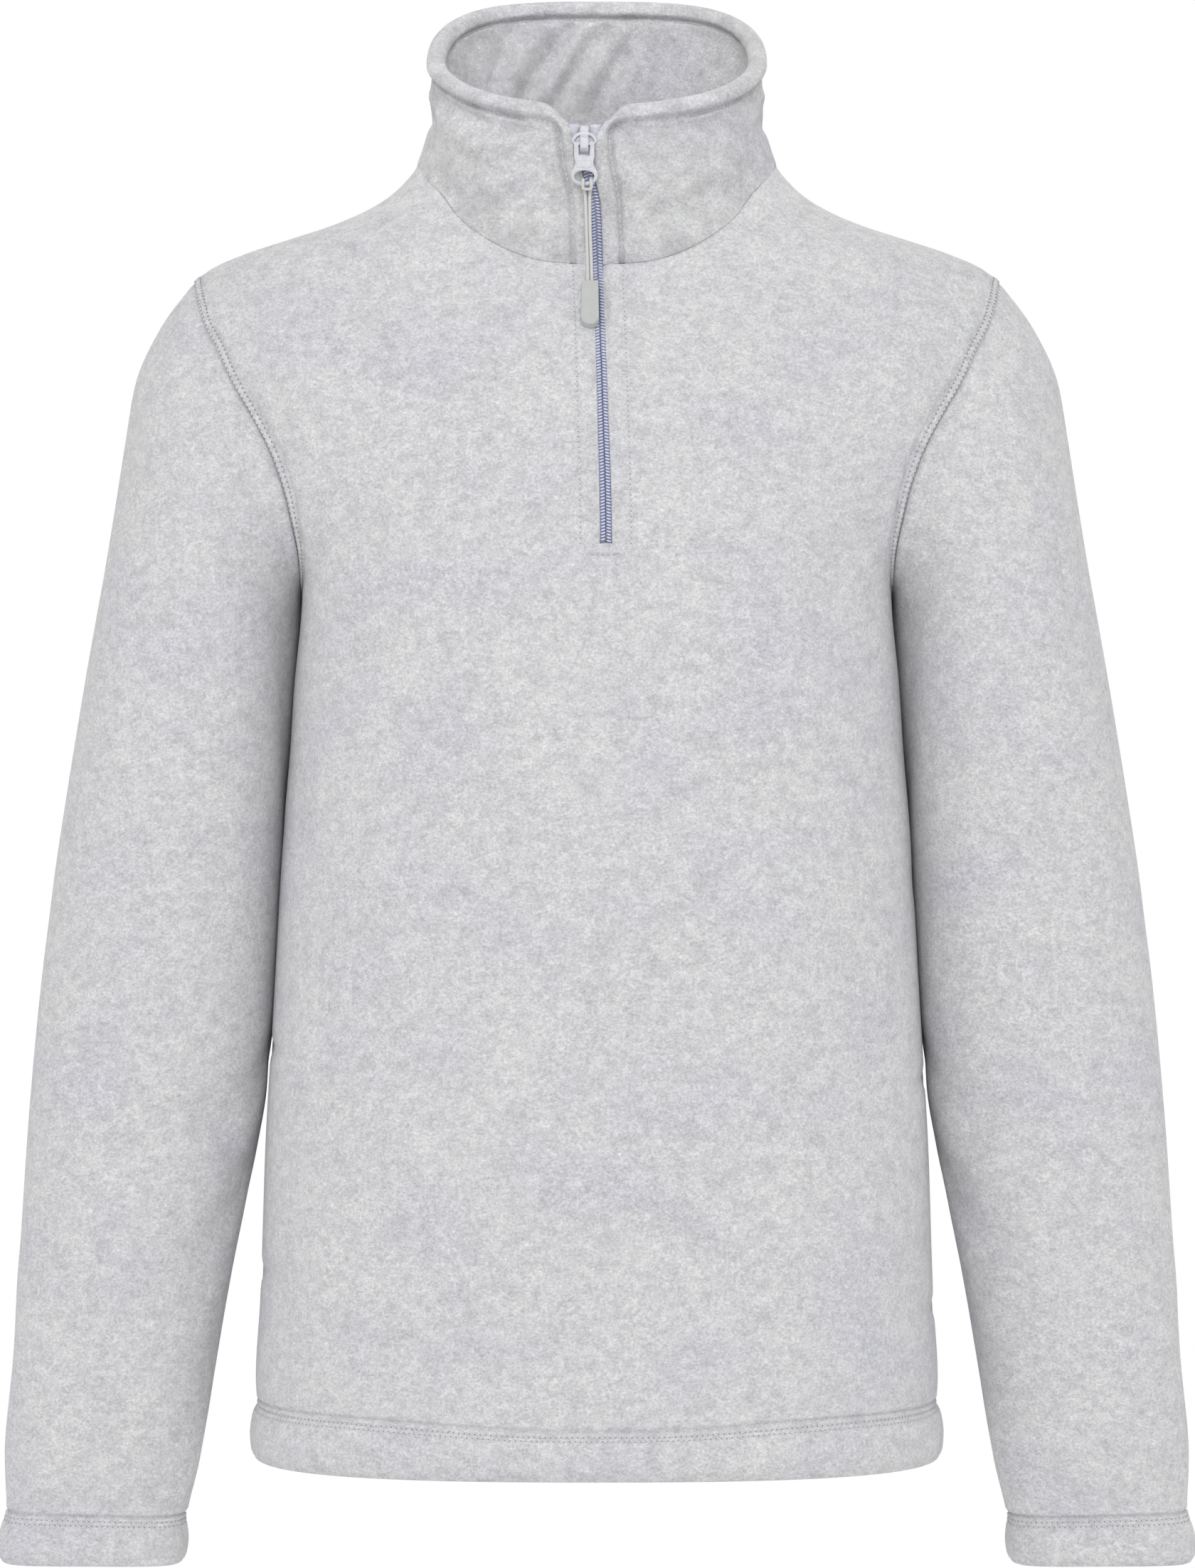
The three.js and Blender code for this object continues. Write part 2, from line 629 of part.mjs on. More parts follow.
function makeTape(name, side) {
  const heights = [...steps(SLIT_BOTTOM + 0.5, slider.pivotHeight, 22), slider.pivotHeight, 10, tape.top];
  const spread = (height) => {
    const open = height < slider.pivotHeight ? 0 : zipLine.lip(height) - tape.halfCoil - 0.4;
    return Math.max(open, SEAM_GAP / 2);
  };
  const profile = (height) => {
    const collarShare = THREE.MathUtils.smoothstep(height, neckline.height(0) - 14, neckline.height(0) - 2);
    const wall = THREE.MathUtils.lerp(CLOTH_WALL, COLLAR_WALL + tape.behindCollar, collarShare);
    const front = wall + tape.behindCloth;
    const coil = tape.halfCoil;
    return [
      [0, tape.coilBelowCloth],
      [coil, tape.coilBelowCloth],
      [coil, front],
      [tape.width, front],
      [tape.width, front + tape.thickness],
      [coil, front + tape.thickness],
      [0, front + tape.thickness],
    ];
  };
  const rings = heights.map((height) => profile(height).map(([across, depth]) => {
    const x = zipLine.across(height) + side * (spread(height) + across);
    const point = frontSkin(x, height);
    return new THREE.Vector3(x, point.y + depth, point.z);
  }));
  const positions = rings.flat().flatMap((point) => point.toArray());
  const size = rings[0].length;
  const flat = profile(0).map(([across, depth]) => new THREE.Vector2(across, depth));
  const cap = THREE.ShapeUtils.triangulateShape(flat, []);
  const triangles = [];
  const push = (a, b, c) => triangles.push(...(side > 0 ? [a, b, c] : [a, c, b]));
  for (let i = 0; i + 1 < rings.length; i += 1) {
    for (let j = 0; j < size; j += 1) {
      const next = (j + 1) % size;
      const low = i * size;
      const high = low + size;
      push(low + j, low + next, high + next);
      push(low + j, high + next, high + j);
    }
  }
  const last = (rings.length - 1) * size;
  cap.forEach(([a, b, c]) => {
    push(a, c, b);
    push(last + a, last + b, last + c);
  });
  const geometry = new THREE.BufferGeometry();
  geometry.setAttribute('position', new THREE.Float32BufferAttribute(positions, 3));
  geometry.setIndex(triangles);
  return piece(name, geometry, colours.tape, 0.6);
}

// ---------------------------------------------------------------- slider
// The corners of a drawn outline, without the repeated ones where an arc meets a line.
function cornersOf(path) {
  const points = path.getPoints(10);
  return points.filter((point, k) => point.distanceTo(points.at(k - 1)) > 0.01);
}

// Turns a flat shape drawn across and up into one whose thickness runs forward from the cloth.
function plateOf(outline, thickness, holes = []) {
  const shape = new THREE.Shape(cornersOf(outline));
  shape.holes = holes.map((hole) => new THREE.Path(cornersOf(hole)));
  const flat = new THREE.ExtrudeGeometry(shape, { depth: thickness, bevelEnabled: false });
  return flat.rotateX(Math.PI / 2);
}

function polygon(points) {
  return new THREE.Shape(points.map(([x, y]) => new THREE.Vector2(x, y)));
}

const sliderCloth = frontSkin(slider.across, slider.pivotHeight);
const plateBack = sliderCloth.y - slider.plateGap;
const pivotDepth = plateBack - slider.plateThickness - slider.pivotForward;

function makeSlider() {
  const half = slider.plateHalfWidth;
  const shoulder = slider.plateTop * 0.35;
  const outline = new THREE.Shape();
  outline.moveTo(-half * 0.72, slider.plateBottom);
  outline.lineTo(half * 0.72, slider.plateBottom);
  outline.lineTo(half, shoulder);
  outline.bezierCurveTo(half, slider.plateTop * 0.8, half * 0.5, slider.plateTop, 0, slider.plateTop);
  outline.bezierCurveTo(-half * 0.5, slider.plateTop, -half, slider.plateTop * 0.8, -half, shoulder);
  const plate = plateOf(outline, slider.plateThickness);

  const { bridgeTop, bridgeBottom, bridgeThickness } = slider;
  const inside = 2 * slider.pivotForward;
  const rise = inside + bridgeThickness;
  const root = -slider.plateThickness / 2;
  const arch = polygon([
    [root, bridgeBottom], [rise, bridgeBottom + 1.9], [rise, bridgeTop - 2.2], [root, bridgeTop],
    [root, bridgeTop - 1.6], [inside, bridgeTop - 2.9], [inside, bridgeBottom + 2.6],
    [root, bridgeBottom + 1.4],
  ]);
  const bridge = new THREE.ExtrudeGeometry(arch, { depth: slider.bridgeWidth, bevelEnabled: false });
  bridge.applyMatrix4(new THREE.Matrix4().makeBasis(
    new THREE.Vector3(0, -1, 0), new THREE.Vector3(0, 0, 1), new THREE.Vector3(-1, 0, 0)));
  bridge.translate(slider.bridgeWidth / 2, -slider.plateThickness, 0);

  const nose = slider.noseHalfWidth;
  const wedge = plateOf(polygon([
    [0, 2.2], [nose * 0.8, 5], [nose, slider.plateTop], [nose, slider.noseTop],
    [-nose, slider.noseTop], [-nose, slider.plateTop], [-nose * 0.8, 5],
  ]), slider.lowerPlateDepth);
  wedge.translate(0, slider.lowerPlateDepth - slider.plateThickness / 2, 0);
  const low = slider.lowerPlateHalfWidth;
  const lowerPlate = plateOf(polygon([
    [-low, slider.plateBottom], [low, slider.plateBottom], [low, slider.plateTop - 1],
    [nose, slider.noseTop], [-nose, slider.noseTop], [-low, slider.plateTop - 1],
  ]), slider.lowerPlateThickness);
  lowerPlate.translate(0, slider.lowerPlateDepth, 0);

  const whole = [bridge, wedge, lowerPlate].reduce((sum, part) => sum.add(solidOf(part)), solidOf(plate));
  const mesh = piece('slider', geometryOf(whole), colours.metal, 0.35, 0.6);
  mesh.position.set(slider.across, plateBack, slider.pivotHeight);
  return mesh;
}

// ---------------------------------------------------------------- puller
function makePuller() {
  const half = puller.armOuter;
  const eye = puller.eyeHeight;
  const outline = new THREE.Shape();
  outline.moveTo(-half, puller.top);
  outline.lineTo(-half, puller.armBottom);
  outline.quadraticCurveTo(-puller.neckHalf, puller.neckHeight + 1.6, -puller.neckHalf, puller.neckHeight);
  outline.bezierCurveTo(
    -puller.neckHalf, eye + 4.4, -puller.eyeHalfWidth, eye + 3.4, -puller.eyeHalfWidth, eye);
  outline.absellipse(0, eye, puller.eyeHalfWidth, puller.eyeHalfHeight, Math.PI, 2 * Math.PI, false);
  outline.bezierCurveTo(
    puller.eyeHalfWidth, eye + 3.4, puller.neckHalf, eye + 4.4, puller.neckHalf, puller.neckHeight);
  outline.quadraticCurveTo(puller.neckHalf, puller.neckHeight + 1.6, half, puller.armBottom);
  outline.lineTo(half, puller.top);
  const window = new THREE.Path();
  window.moveTo(-puller.windowHalf, puller.barBottom);
  window.lineTo(puller.windowHalf, puller.barBottom);
  window.lineTo(puller.windowHalf, puller.windowBottom);
  window.lineTo(-puller.windowHalf, puller.windowBottom);
  const hole = new THREE.Path();
  hole.absellipse(0, eye, puller.holeHalfWidth, puller.holeHalfHeight, 0, 2 * Math.PI, true);
  const plate = plateOf(outline, puller.thickness, [window, hole]);
  plate.translate(0, puller.thickness / 2, 0);
  const mesh = piece('puller', plate, colours.metal, 0.35, 0.6);
  mesh.position.set(slider.across, pivotDepth, slider.pivotHeight);
  return mesh;
}

// ---------------------------------------------------------------- cord and grip
// The grip lies on the chest, so its lean is the chest's own slope there.
const gripTopDepth = -(body.front(grip.top) + grip.clearance);
const gripBottomDepth = -(body.front(grip.bottom) + grip.clearance);
const gripLean = Math.atan2(gripTopDepth - gripBottomDepth, grip.top - grip.bottom);
const gripLength = Math.hypot(gripTopDepth - gripBottomDepth, grip.top - grip.bottom);

function makeGrip() {
  const wide = grip.halfWidth * 1.06;
  const outline = new THREE.Shape();
  outline.moveTo(-grip.halfWidth, 0);
  outline.lineTo(grip.halfWidth, 0);
  outline.lineTo(wide, -gripLength + wide);
  outline.absarc(0, -gripLength + wide, wide, 0, Math.PI, true);
  const block = plateOf(outline, grip.thickness);
  const mesh = piece('pull_grip', block, colours.rubber, 0.7);
  mesh.position.set(grip.across, gripTopDepth, grip.top);
  mesh.rotation.x = -gripLean;
  return mesh;
}

// One strand rises from the grip, goes behind the eye's lower bar, over it through the hole, across
// in front of both strands and back the same way on the other side.
function cordRoute() {
  const barTop = slider.pivotHeight + puller.eyeHeight - puller.holeHalfHeight;
  const bend = (puller.thickness + cord.diameter) / 2 + 0.5;
  const behind = pivotDepth + bend;
  const before = pivotDepth - bend;
  const gripAxis = new THREE.Vector3(0, Math.sin(gripLean), Math.cos(gripLean));
  const gripFace = new THREE.Vector3(0, -Math.cos(gripLean), Math.sin(gripLean))
    .multiplyScalar(grip.thickness / 2)
    .add(new THREE.Vector3(0, gripTopDepth, grip.top));
  const fromGrip = [0.4, 6].map((rise) => gripFace.clone().addScaledVector(gripAxis, rise));
  const overBar = steps(0, Math.PI, 4).concat(Math.PI);
  const half = [
    ...fromGrip.map(({ y, z }) => [cord.spread, y, z]),
    [cord.spread, behind - 0.2, barTop - 13],
    [cord.spread * 1.2, behind - 0.1, barTop - 6.4],
    ...overBar.map((turn) => [
      cord.legs, pivotDepth + bend * Math.cos(turn), barTop + bend * Math.sin(turn),
    ]),
    [cord.legs, before + 0.2, barTop - 3],
    [cord.legs * 0.8, before + 1.2, barTop - 4.7],
  ];
  const across = (height) => THREE.MathUtils.mapLinear(height, barTop, grip.top, cord.across, grip.across);
  const strand = (side) => half.map(([x, y, z]) => new THREE.Vector3(across(z) + side * x, y, z));
  const band = new THREE.Vector3(across(barTop), behind - 2.1, barTop - 5.6);
  return new THREE.CatmullRomCurve3([...strand(-1), band, ...strand(1).reverse()], false, 'centripetal');
}

function makeCord() {
  const section = new THREE.Shape();
  section.absarc(0, 0, cord.diameter / 2, 0, 2 * Math.PI);
  const tube = new THREE.ExtrudeGeometry(section, {
    steps: cord.steps, curveSegments: 4, bevelEnabled: false, extrudePath: cordRoute(),
  });
  return piece('pull_cord', tube, colours.cord, 0.8);
}

// ---------------------------------------------------------------- the garment
const pullover = new THREE.Group();
pullover.add(
  makeFront(),
  makeBack(),
  makeSleeve('sleeve_left', 1),
  makeSleeve('sleeve_right', -1),
  makeCollar(),
  makeTape('zip_left', 1),
  makeTape('zip_right', -1),
  makeSlider(),
);

const pullTab = new THREE.Group();
pullTab.add(makePuller(), makeCord(), makeGrip());
pullover.add(pullTab);

export default pullover;
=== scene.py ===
# A quarter-zip fleece pullover with a stand collar, standing in its worn, hollow form.
# Shapes are worked out in millimetres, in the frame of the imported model, and made in metres.
import math

import bpy
import numpy as np
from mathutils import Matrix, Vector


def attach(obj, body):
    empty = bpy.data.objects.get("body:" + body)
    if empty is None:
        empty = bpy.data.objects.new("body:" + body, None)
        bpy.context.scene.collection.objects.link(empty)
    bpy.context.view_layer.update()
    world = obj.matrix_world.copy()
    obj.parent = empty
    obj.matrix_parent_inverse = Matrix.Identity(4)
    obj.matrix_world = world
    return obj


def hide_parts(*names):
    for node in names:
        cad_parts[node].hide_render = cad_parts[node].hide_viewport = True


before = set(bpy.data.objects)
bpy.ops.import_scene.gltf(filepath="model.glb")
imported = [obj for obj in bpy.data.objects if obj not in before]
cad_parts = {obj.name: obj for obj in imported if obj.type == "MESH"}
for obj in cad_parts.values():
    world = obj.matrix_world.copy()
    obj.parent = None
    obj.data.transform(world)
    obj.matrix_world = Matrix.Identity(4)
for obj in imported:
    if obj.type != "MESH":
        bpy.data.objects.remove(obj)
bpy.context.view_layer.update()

# ---------------------------------------------------------------- camera
# A long lens level with the middle of the pullover, straight in front of it.
CAMERA_DISTANCE = 2.6
VIEW_HEIGHT = 0.81585
VIEW_CENTRE = (0.00037, -0.3154)
SENSOR = 36.0

camera_data = bpy.data.cameras.new("studio_camera")
camera_data.sensor_width = SENSOR
camera_data.lens = SENSOR * CAMERA_DISTANCE / VIEW_HEIGHT
camera = bpy.data.objects.new("studio_camera", camera_data)
camera.location = (VIEW_CENTRE[0], -CAMERA_DISTANCE, VIEW_CENTRE[1])
camera.rotation_euler = (math.pi / 2, 0, 0)
bpy.context.scene.collection.objects.link(camera)
bpy.context.scene.camera = camera

# ---------------------------------------------------------------- pull cord
# A polyester cord, 1.7 mm thick and tightly braided, folded in two. Its fold is hitched through the
# eye of the zip's puller and both of its ends are moulded into the rubber grip.
CORD_DIAMETER = 0.0017
CORD_SIDES, CORD_STEPS = 12, 6
BRAID_PITCH, BRAID_LEAN = 0.0011, 0.9
WAVE_PERIOD = 0.314  # of a wave texture at scale 1
CORD_ROUTE = [
    (-0.00442, -0.08014, -0.06223), (-0.00456, -0.07755, -0.05726), (-0.00482, -0.07674, -0.04760),
    (-0.00513, -0.07680, -0.03605), (-0.00551, -0.07698, -0.02445), (-0.00589, -0.07688, -0.01785),
    (-0.00690, -0.07678, -0.01180), (-0.00694, -0.07739, -0.01085), (-0.00696, -0.07888, -0.01045),
    (-0.00694, -0.08036, -0.01085), (-0.00692, -0.08098, -0.01180), (-0.00706, -0.08090, -0.01370),
    (-0.00668, -0.08060, -0.01520), (-0.00490, -0.08050, -0.01545), (-0.00306, -0.08060, -0.01520),
    (-0.00270, -0.08090, -0.01370), (-0.00288, -0.08098, -0.01180), (-0.00294, -0.08036, -0.01085),
    (-0.00296, -0.07888, -0.01045), (-0.00294, -0.07739, -0.01085), (-0.00290, -0.07678, -0.01180),
    (-0.00354, -0.07688, -0.01785), (-0.00355, -0.07698, -0.02445), (-0.00337, -0.07680, -0.03605),
    (-0.00290, -0.07674, -0.04760), (-0.00260, -0.07755, -0.05726), (-0.00246, -0.08014, -0.06223),
]


def linear(code):
    """A colour given as sRGB hex, as linear numbers with full alpha."""
    parts = [int(code[k:k + 2], 16) / 255 for k in (1, 3, 5)]
    return [c / 12.92 if c <= 0.04045 else ((c + 0.055) / 1.055) ** 2.4 for c in parts] + [1.0]


def add_node(tree, kind, settings=None, values=None, links=None):
    """Adds a node, sets its properties and its sockets, and links outputs to its inputs."""
    node = tree.nodes.new(kind)
    for name, value in (settings or {}).items():
        setattr(node, name, value)
    for name, value in (values or {}).items():
        node.inputs[name].default_value = value
    for name, socket in (links or {}).items():
        tree.links.new(socket, node.inputs[name])
    return node


def new_material(name):
    """An empty material with its output node."""
    material = bpy.data.materials.new(name)
    material.use_nodes = True
    material.node_tree.nodes.clear()
    return material, material.node_tree


def finish_shader(tree, values, links):
    """Ends a material: one shader with its constants and links, joined to the output."""
    shader = add_node(tree, "ShaderNodeBsdfPrincipled", values=values, links=links)
    add_node(tree, "ShaderNodeOutputMaterial", links={"Surface": shader.outputs["BSDF"]})


def ramp_between(node, stops):
    """Gives a colour ramp its stops, as (place, hex)."""
    ramp = node.color_ramp
    ramp.elements[0].position, ramp.elements[1].position = stops[0][0], stops[-1][0]
    ramp.elements[0].color, ramp.elements[1].color = linear(stops[0][1]), linear(stops[-1][1])
    for place, code in stops[1:-1]:
        ramp.elements.new(place).color = linear(code)


def smooth_route(points, steps):
    """A smooth line through the points, with the given number of steps between each two."""
    points = np.array(points, float)
    ends = np.vstack([2 * points[0] - points[1], points, 2 * points[-1] - points[-2]])
    result = []
    for before, start, end, after in zip(ends, ends[1:], ends[2:], ends[3:]):
        knots = np.cumsum([0] + [max(np.linalg.norm(b - a), 1e-6) ** 0.5
                                 for a, b in ((before, start), (start, end), (end, after))])
        for t in np.linspace(knots[1], knots[2], steps, endpoint=False):
            a1 = (before * (knots[1] - t) + start * (t - knots[0])) / (knots[1] - knots[0])
            a2 = (start * (knots[2] - t) + end * (t - knots[1])) / (knots[2] - knots[1])
            a3 = (end * (knots[3] - t) + after * (t - knots[2])) / (knots[3] - knots[2])
            b1 = (a1 * (knots[2] - t) + a2 * (t - knots[0])) / (knots[2] - knots[0])
            b2 = (a2 * (knots[3] - t) + a3 * (t - knots[1])) / (knots[3] - knots[1])
            result.append((b1 * (knots[2] - t) + b2 * (t - knots[1])) / (knots[2] - knots[1]))
    return np.array(result + [points[-1]])


def new_mesh(name, points, faces, material, face_uvs=None):
    """A smooth mesh object from points in metres, at the origin. `face_uvs` are per corner."""
    mesh = bpy.data.meshes.new(name)
    mesh.from_pydata(np.asarray(points).tolist(), [], [list(map(int, face)) for face in faces])
    if face_uvs is not None:
        layer = mesh.uv_layers.new(name="UVMap")
        layer.data.foreach_set("uv", np.asarray(face_uvs, float).ravel())
    mesh.polygons.foreach_set("use_smooth", [True] * len(mesh.polygons))
    mesh.materials.append(material)
    mesh.update()
    piece = bpy.data.objects.new(name, mesh)
    bpy.context.scene.collection.objects.link(piece)
    return piece


def run_along(line):
    """The distance along a line at each of its points."""
    return np.concatenate([[0], np.cumsum(np.linalg.norm(np.diff(line, axis=0), axis=1))])


def tube(name, path, radius, sides, material):
    """A round tube along a path, with closed ends. Its UV is metres round and along it."""
    along = np.gradient(path, axis=0)
    along /= np.linalg.norm(along, axis=1)[:, None]
    side = np.cross(along[0], (0, 0, 1))
    side = np.cross(along[0], (1, 0, 0)) if np.linalg.norm(side) < 0.1 else side
    travelled = run_along(path)
    rings = []
    for point, direction in zip(path, along):
        side = side - direction * side.dot(direction)
        side /= np.linalg.norm(side)
        other = np.cross(direction, side)
        turns = 2 * np.pi * np.arange(sides) / sides
        rings.append(point + radius * (np.outer(np.cos(turns), side) + np.outer(np.sin(turns), other)))
    faces, uvs = [], []
    for i in range(len(path) - 1):
        for j in range(sides):
            k = (j + 1) % sides
            faces.append([i * sides + j, i * sides + k, (i + 1) * sides + k, (i + 1) * sides + j])
            round_it = 2 * np.pi * radius / sides
            uvs += [(j * round_it, travelled[i]), ((j + 1) * round_it, travelled[i]),
                    ((j + 1) * round_it, travelled[i + 1]), (j * round_it, travelled[i + 1])]
    last = (len(path) - 1) * sides
    faces += [list(range(sides))[::-1], [last + j for j in range(sides)]]
    uvs += [(0, 0)] * (2 * sides)
    return new_mesh(name, np.vstack(rings), faces, material, uvs)


# Braided polyester: warm pale grey, a soft shine, and a fine diamond relief from the braid.
braid, braid_tree = new_material("braided_polyester_cord")
braid_uv = add_node(braid_tree, "ShaderNodeTexCoord")
braid_waves = []
for lean in (1, -1):
    turned = add_node(braid_tree, "ShaderNodeMapping", values={"Rotation": (0, 0, lean * BRAID_LEAN)},
                      links={"Vector": braid_uv.outputs["UV"]})
    braid_waves.append(add_node(
        braid_tree, "ShaderNodeTexWave", {"bands_direction": "X"},
        {"Scale": WAVE_PERIOD / BRAID_PITCH, "Distortion": 0.0}, {"Vector": turned.outputs["Vector"]}))
braid_height = add_node(braid_tree, "ShaderNodeMath", {"operation": "MAXIMUM"},
                        links={0: braid_waves[0].outputs["Fac"], 1: braid_waves[1].outputs["Fac"]})
braid_colour = add_node(braid_tree, "ShaderNodeValToRGB", links={"Fac": braid_height.outputs[0]})
ramp_between(braid_colour, [(0.0, "#B4B4B3"), (0.6, "#C6C6C4"), (1.0, "#CCCCCA")])
braid_bump = add_node(braid_tree, "ShaderNodeBump", values={"Strength": 0.3, "Distance": 0.00010},
                      links={"Height": braid_height.outputs[0]})
finish_shader(braid_tree, {"Roughness": 0.55, "Specular IOR Level": 0.4},
              {"Base Color": braid_colour.outputs["Color"], "Normal": braid_bump.outputs["Normal"]})

cord_path = smooth_route(CORD_ROUTE, CORD_STEPS)
pull_cord = tube("pull_cord_braid", cord_path, CORD_DIAMETER / 2, CORD_SIDES, braid)
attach(pull_cord, "pull_tab")
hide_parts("pull_cord")

# ---------------------------------------------------------------- grip
# A tab of soft rubber moulded round the cord's two ends: square at the top, round at the bottom,
# 4.4 mm thick, with rounded edges. It lies on the chest and leans as the chest does there.
MM = 0.001
GRIP_TOP = np.array([-3.4, -78.38, -63.6])
GRIP_LEAN = 0.482
GRIP_LENGTH = 25.96
GRIP_HALF_WIDTH = 4.2
GRIP_THICKNESS = 4.4
GRIP_CORNER = 0.7
GRIP_VOXEL, GRIP_ROUNDS = 0.22, 10


def arc(centre, radius, start, end, count):
    """Points on an arc, with the angles in degrees."""
    turns = np.radians(np.linspace(start, end, count))
    return [(centre[0] + radius * math.cos(t), centre[1] + radius * math.sin(t)) for t in turns]


def between(first, second):
    """A closed solid between two outlines with the same number of points."""
    count = len(first)
    faces = [list(range(count)), [count + k for k in range(count)][::-1]]
    faces += [[k, count + k, count + (k + 1) % count, (k + 1) % count] for k in range(count)]
    return first + second, faces


def prism(outline, near, far):
    """A flat outline, drawn across and up, given thickness from `near` to `far` towards the front."""
    return between([(x, -near, z) for x, z in outline], [(x, -far, z) for x, z in outline])


def finished(piece, name):
    """The piece with its modifiers applied, as a plain mesh object, with outward normals."""
    graph = bpy.context.evaluated_depsgraph_get()
    mesh = bpy.data.meshes.new_from_object(piece.evaluated_get(graph))
    mesh.name = name
    result = bpy.data.objects.new(name, mesh)
    bpy.context.scene.collection.objects.link(result)
    bpy.data.objects.remove(piece)
    return result


def moulded(name, parts, voxel, rounds, material, lean=0.0, place=(0, 0, 0)):
    """One smooth solid from overlapping parts in millimetres, leant about X and put in place."""
    points, faces = [], []
    for part_points, part_faces in parts:
        faces += [[len(points) + k for k in face] for face in part_faces]
        points += [tuple(p) for p in part_points]
    rough = new_mesh(name + "_parts", np.array(points) * MM, faces, material)
    remesh = rough.modifiers.new("voxels", "REMESH")
    remesh.mode = "VOXEL"
    remesh.voxel_size = voxel * MM
    smooth = rough.modifiers.new("rounding", "SMOOTH")
    smooth.factor = 0.5
    smooth.iterations = rounds
    piece = finished(rough, name)
    corners = np.empty(len(piece.data.vertices) * 3)
    piece.data.vertices.foreach_get("co", corners)
    x, y, z = corners.reshape(-1, 3).T
    turned = np.stack([x, y * math.cos(lean) - z * math.sin(lean),
                       y * math.sin(lean) + z * math.cos(lean)], axis=1)
    turned += np.array(place) * MM
    piece.data.vertices.foreach_set("co", turned.ravel())
    piece.data.polygons.foreach_set("use_smooth", [True] * len(piece.data.polygons))
    piece.data.materials.clear()
    piece.data.materials.append(material)
    piece.data.update()
    return piece


def clouded_finish(name, colours, cloud, roughness, specular, relief=None):
    """A finish clouded between two colours. `cloud` is the scale and detail of its clouds, and
    `relief` the scale and detail, then the strength and depth, of its bumps."""
    material, tree = new_material(name)
    place = add_node(tree, "ShaderNodeTexCoord").outputs["Object"]
    clouds = add_node(tree, "ShaderNodeTexNoise", values=dict(zip(("Scale", "Detail"), cloud)),
                      links={"Vector": place})
    colour = add_node(tree, "ShaderNodeValToRGB", links={"Fac": clouds.outputs["Fac"]})
    ramp_between(colour, [(0.3, colours[0]), (0.7, colours[1])])
    links = {"Base Color": colour.outputs["Color"]}
    if relief:
        skin = add_node(tree, "ShaderNodeTexNoise", values=dict(zip(("Scale", "Detail"), relief)),
                        links={"Vector": place})
        bump = add_node(tree, "ShaderNodeBump", values=dict(zip(("Strength", "Distance"), relief[2:])),
                        links={"Height": skin.outputs["Fac"]})
        links["Normal"] = bump.outputs["Normal"]
    finish_shader(tree, {"Roughness": roughness, "Specular IOR Level": specular}, links)
    return material


# Soft rubber, moulded: pale grey-green, matt, with the faintest unevenness of a moulded skin.
rubber = clouded_finish("moulded_soft_rubber", ("#B5B7B5", "#BBBDBA"), (260.0, 3.0), 0.62, 0.35,
                        (3000.0, 2.0, 0.25, 0.00004))

grip_foot = GRIP_HALF_WIDTH * 1.06
grip_outline = (
    arc((GRIP_HALF_WIDTH - GRIP_CORNER, -GRIP_CORNER), GRIP_CORNER, 0, 90, 5)
    + arc((-GRIP_HALF_WIDTH + GRIP_CORNER, -GRIP_CORNER), GRIP_CORNER, 90, 180, 5)
    + arc((0, -GRIP_LENGTH + grip_foot), grip_foot, 180, 360, 25)
)
pull_grip = moulded("pull_grip_rubber", [prism(grip_outline, 0, GRIP_THICKNESS)],
                    GRIP_VOXEL, GRIP_ROUNDS, rubber, -GRIP_LEAN, GRIP_TOP)
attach(pull_grip, "pull_tab")
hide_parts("pull_grip")

# ---------------------------------------------------------------- puller
# The zip's pull tab, die-cast in zinc and sprayed pale grey: a bar that turns under the slider's
# bridge, two arms, a plain neck with a blank raised panel, and an oval eye for the cord.
PIVOT = np.array([-6.3, -78.877, 7.6])
PULLER_HALF_THICKNESS = 0.75
ARM_INNER, ARM_OUTER = 2.85, 5.1
BAR_TOP, BAR_BOTTOM = 0.9, -0.6
WINDOW_BOTTOM = -6.5
NECK_HALF, NECK_HEIGHT = 4.5, -9.6
EYE_HEIGHT = -16.3
EYE_OUTER = (6.85, 5.1)
EYE_INNER = (5.0, 2.75)
PANEL = (3.5, -8.6, -11.9)
PANEL_RISE, EYE_RISE = 0.3, 0.15
CAST_VOXEL, CAST_ROUNDS = 0.15, 5


def bezier(points, count):
    """Points on a cubic curve through four control points, without the last."""
    a, b, c, d = (np.array(p, float) for p in points)
    return [tuple((1 - t) ** 3 * a + 3 * (1 - t) ** 2 * t * b + 3 * (1 - t) * t * t * c + t ** 3 * d)
            for t in np.arange(count) / count]


def oval_ring(height, outer, inner, half_thickness, around=64, section=12):
    """An oval ring of rounded section, lying in the plane of the puller."""
    points, faces = [], []
    for turn in 2 * np.pi * np.arange(around) / around:
        for tilt in 2 * np.pi * np.arange(section) / section:
            share = (1 + math.cos(tilt)) / 2
            reach = [i + (o - i) * share for i, o in zip(inner, outer)]
            points.append((reach[0] * math.cos(turn), half_thickness * math.sin(tilt),
                           height + reach[1] * math.sin(turn)))
    for i in range(around):
        for j in range(section):
            k, m = (i + 1) % around, (j + 1) % section
            faces.append([i * section + j, k * section + j, k * section + m, i * section + m])
    return points, faces


# Zinc die-casting under satin lacquer: pale lavender-grey, faintly orange-peeled, soft highlights.
lacquer = clouded_finish("lacquered_zinc_casting", ("#BCBDC4", "#C8C9CF"), (400.0, 3.0), 0.34, 0.5,
                         (1500.0, 1.0, 0.15, 0.00005))

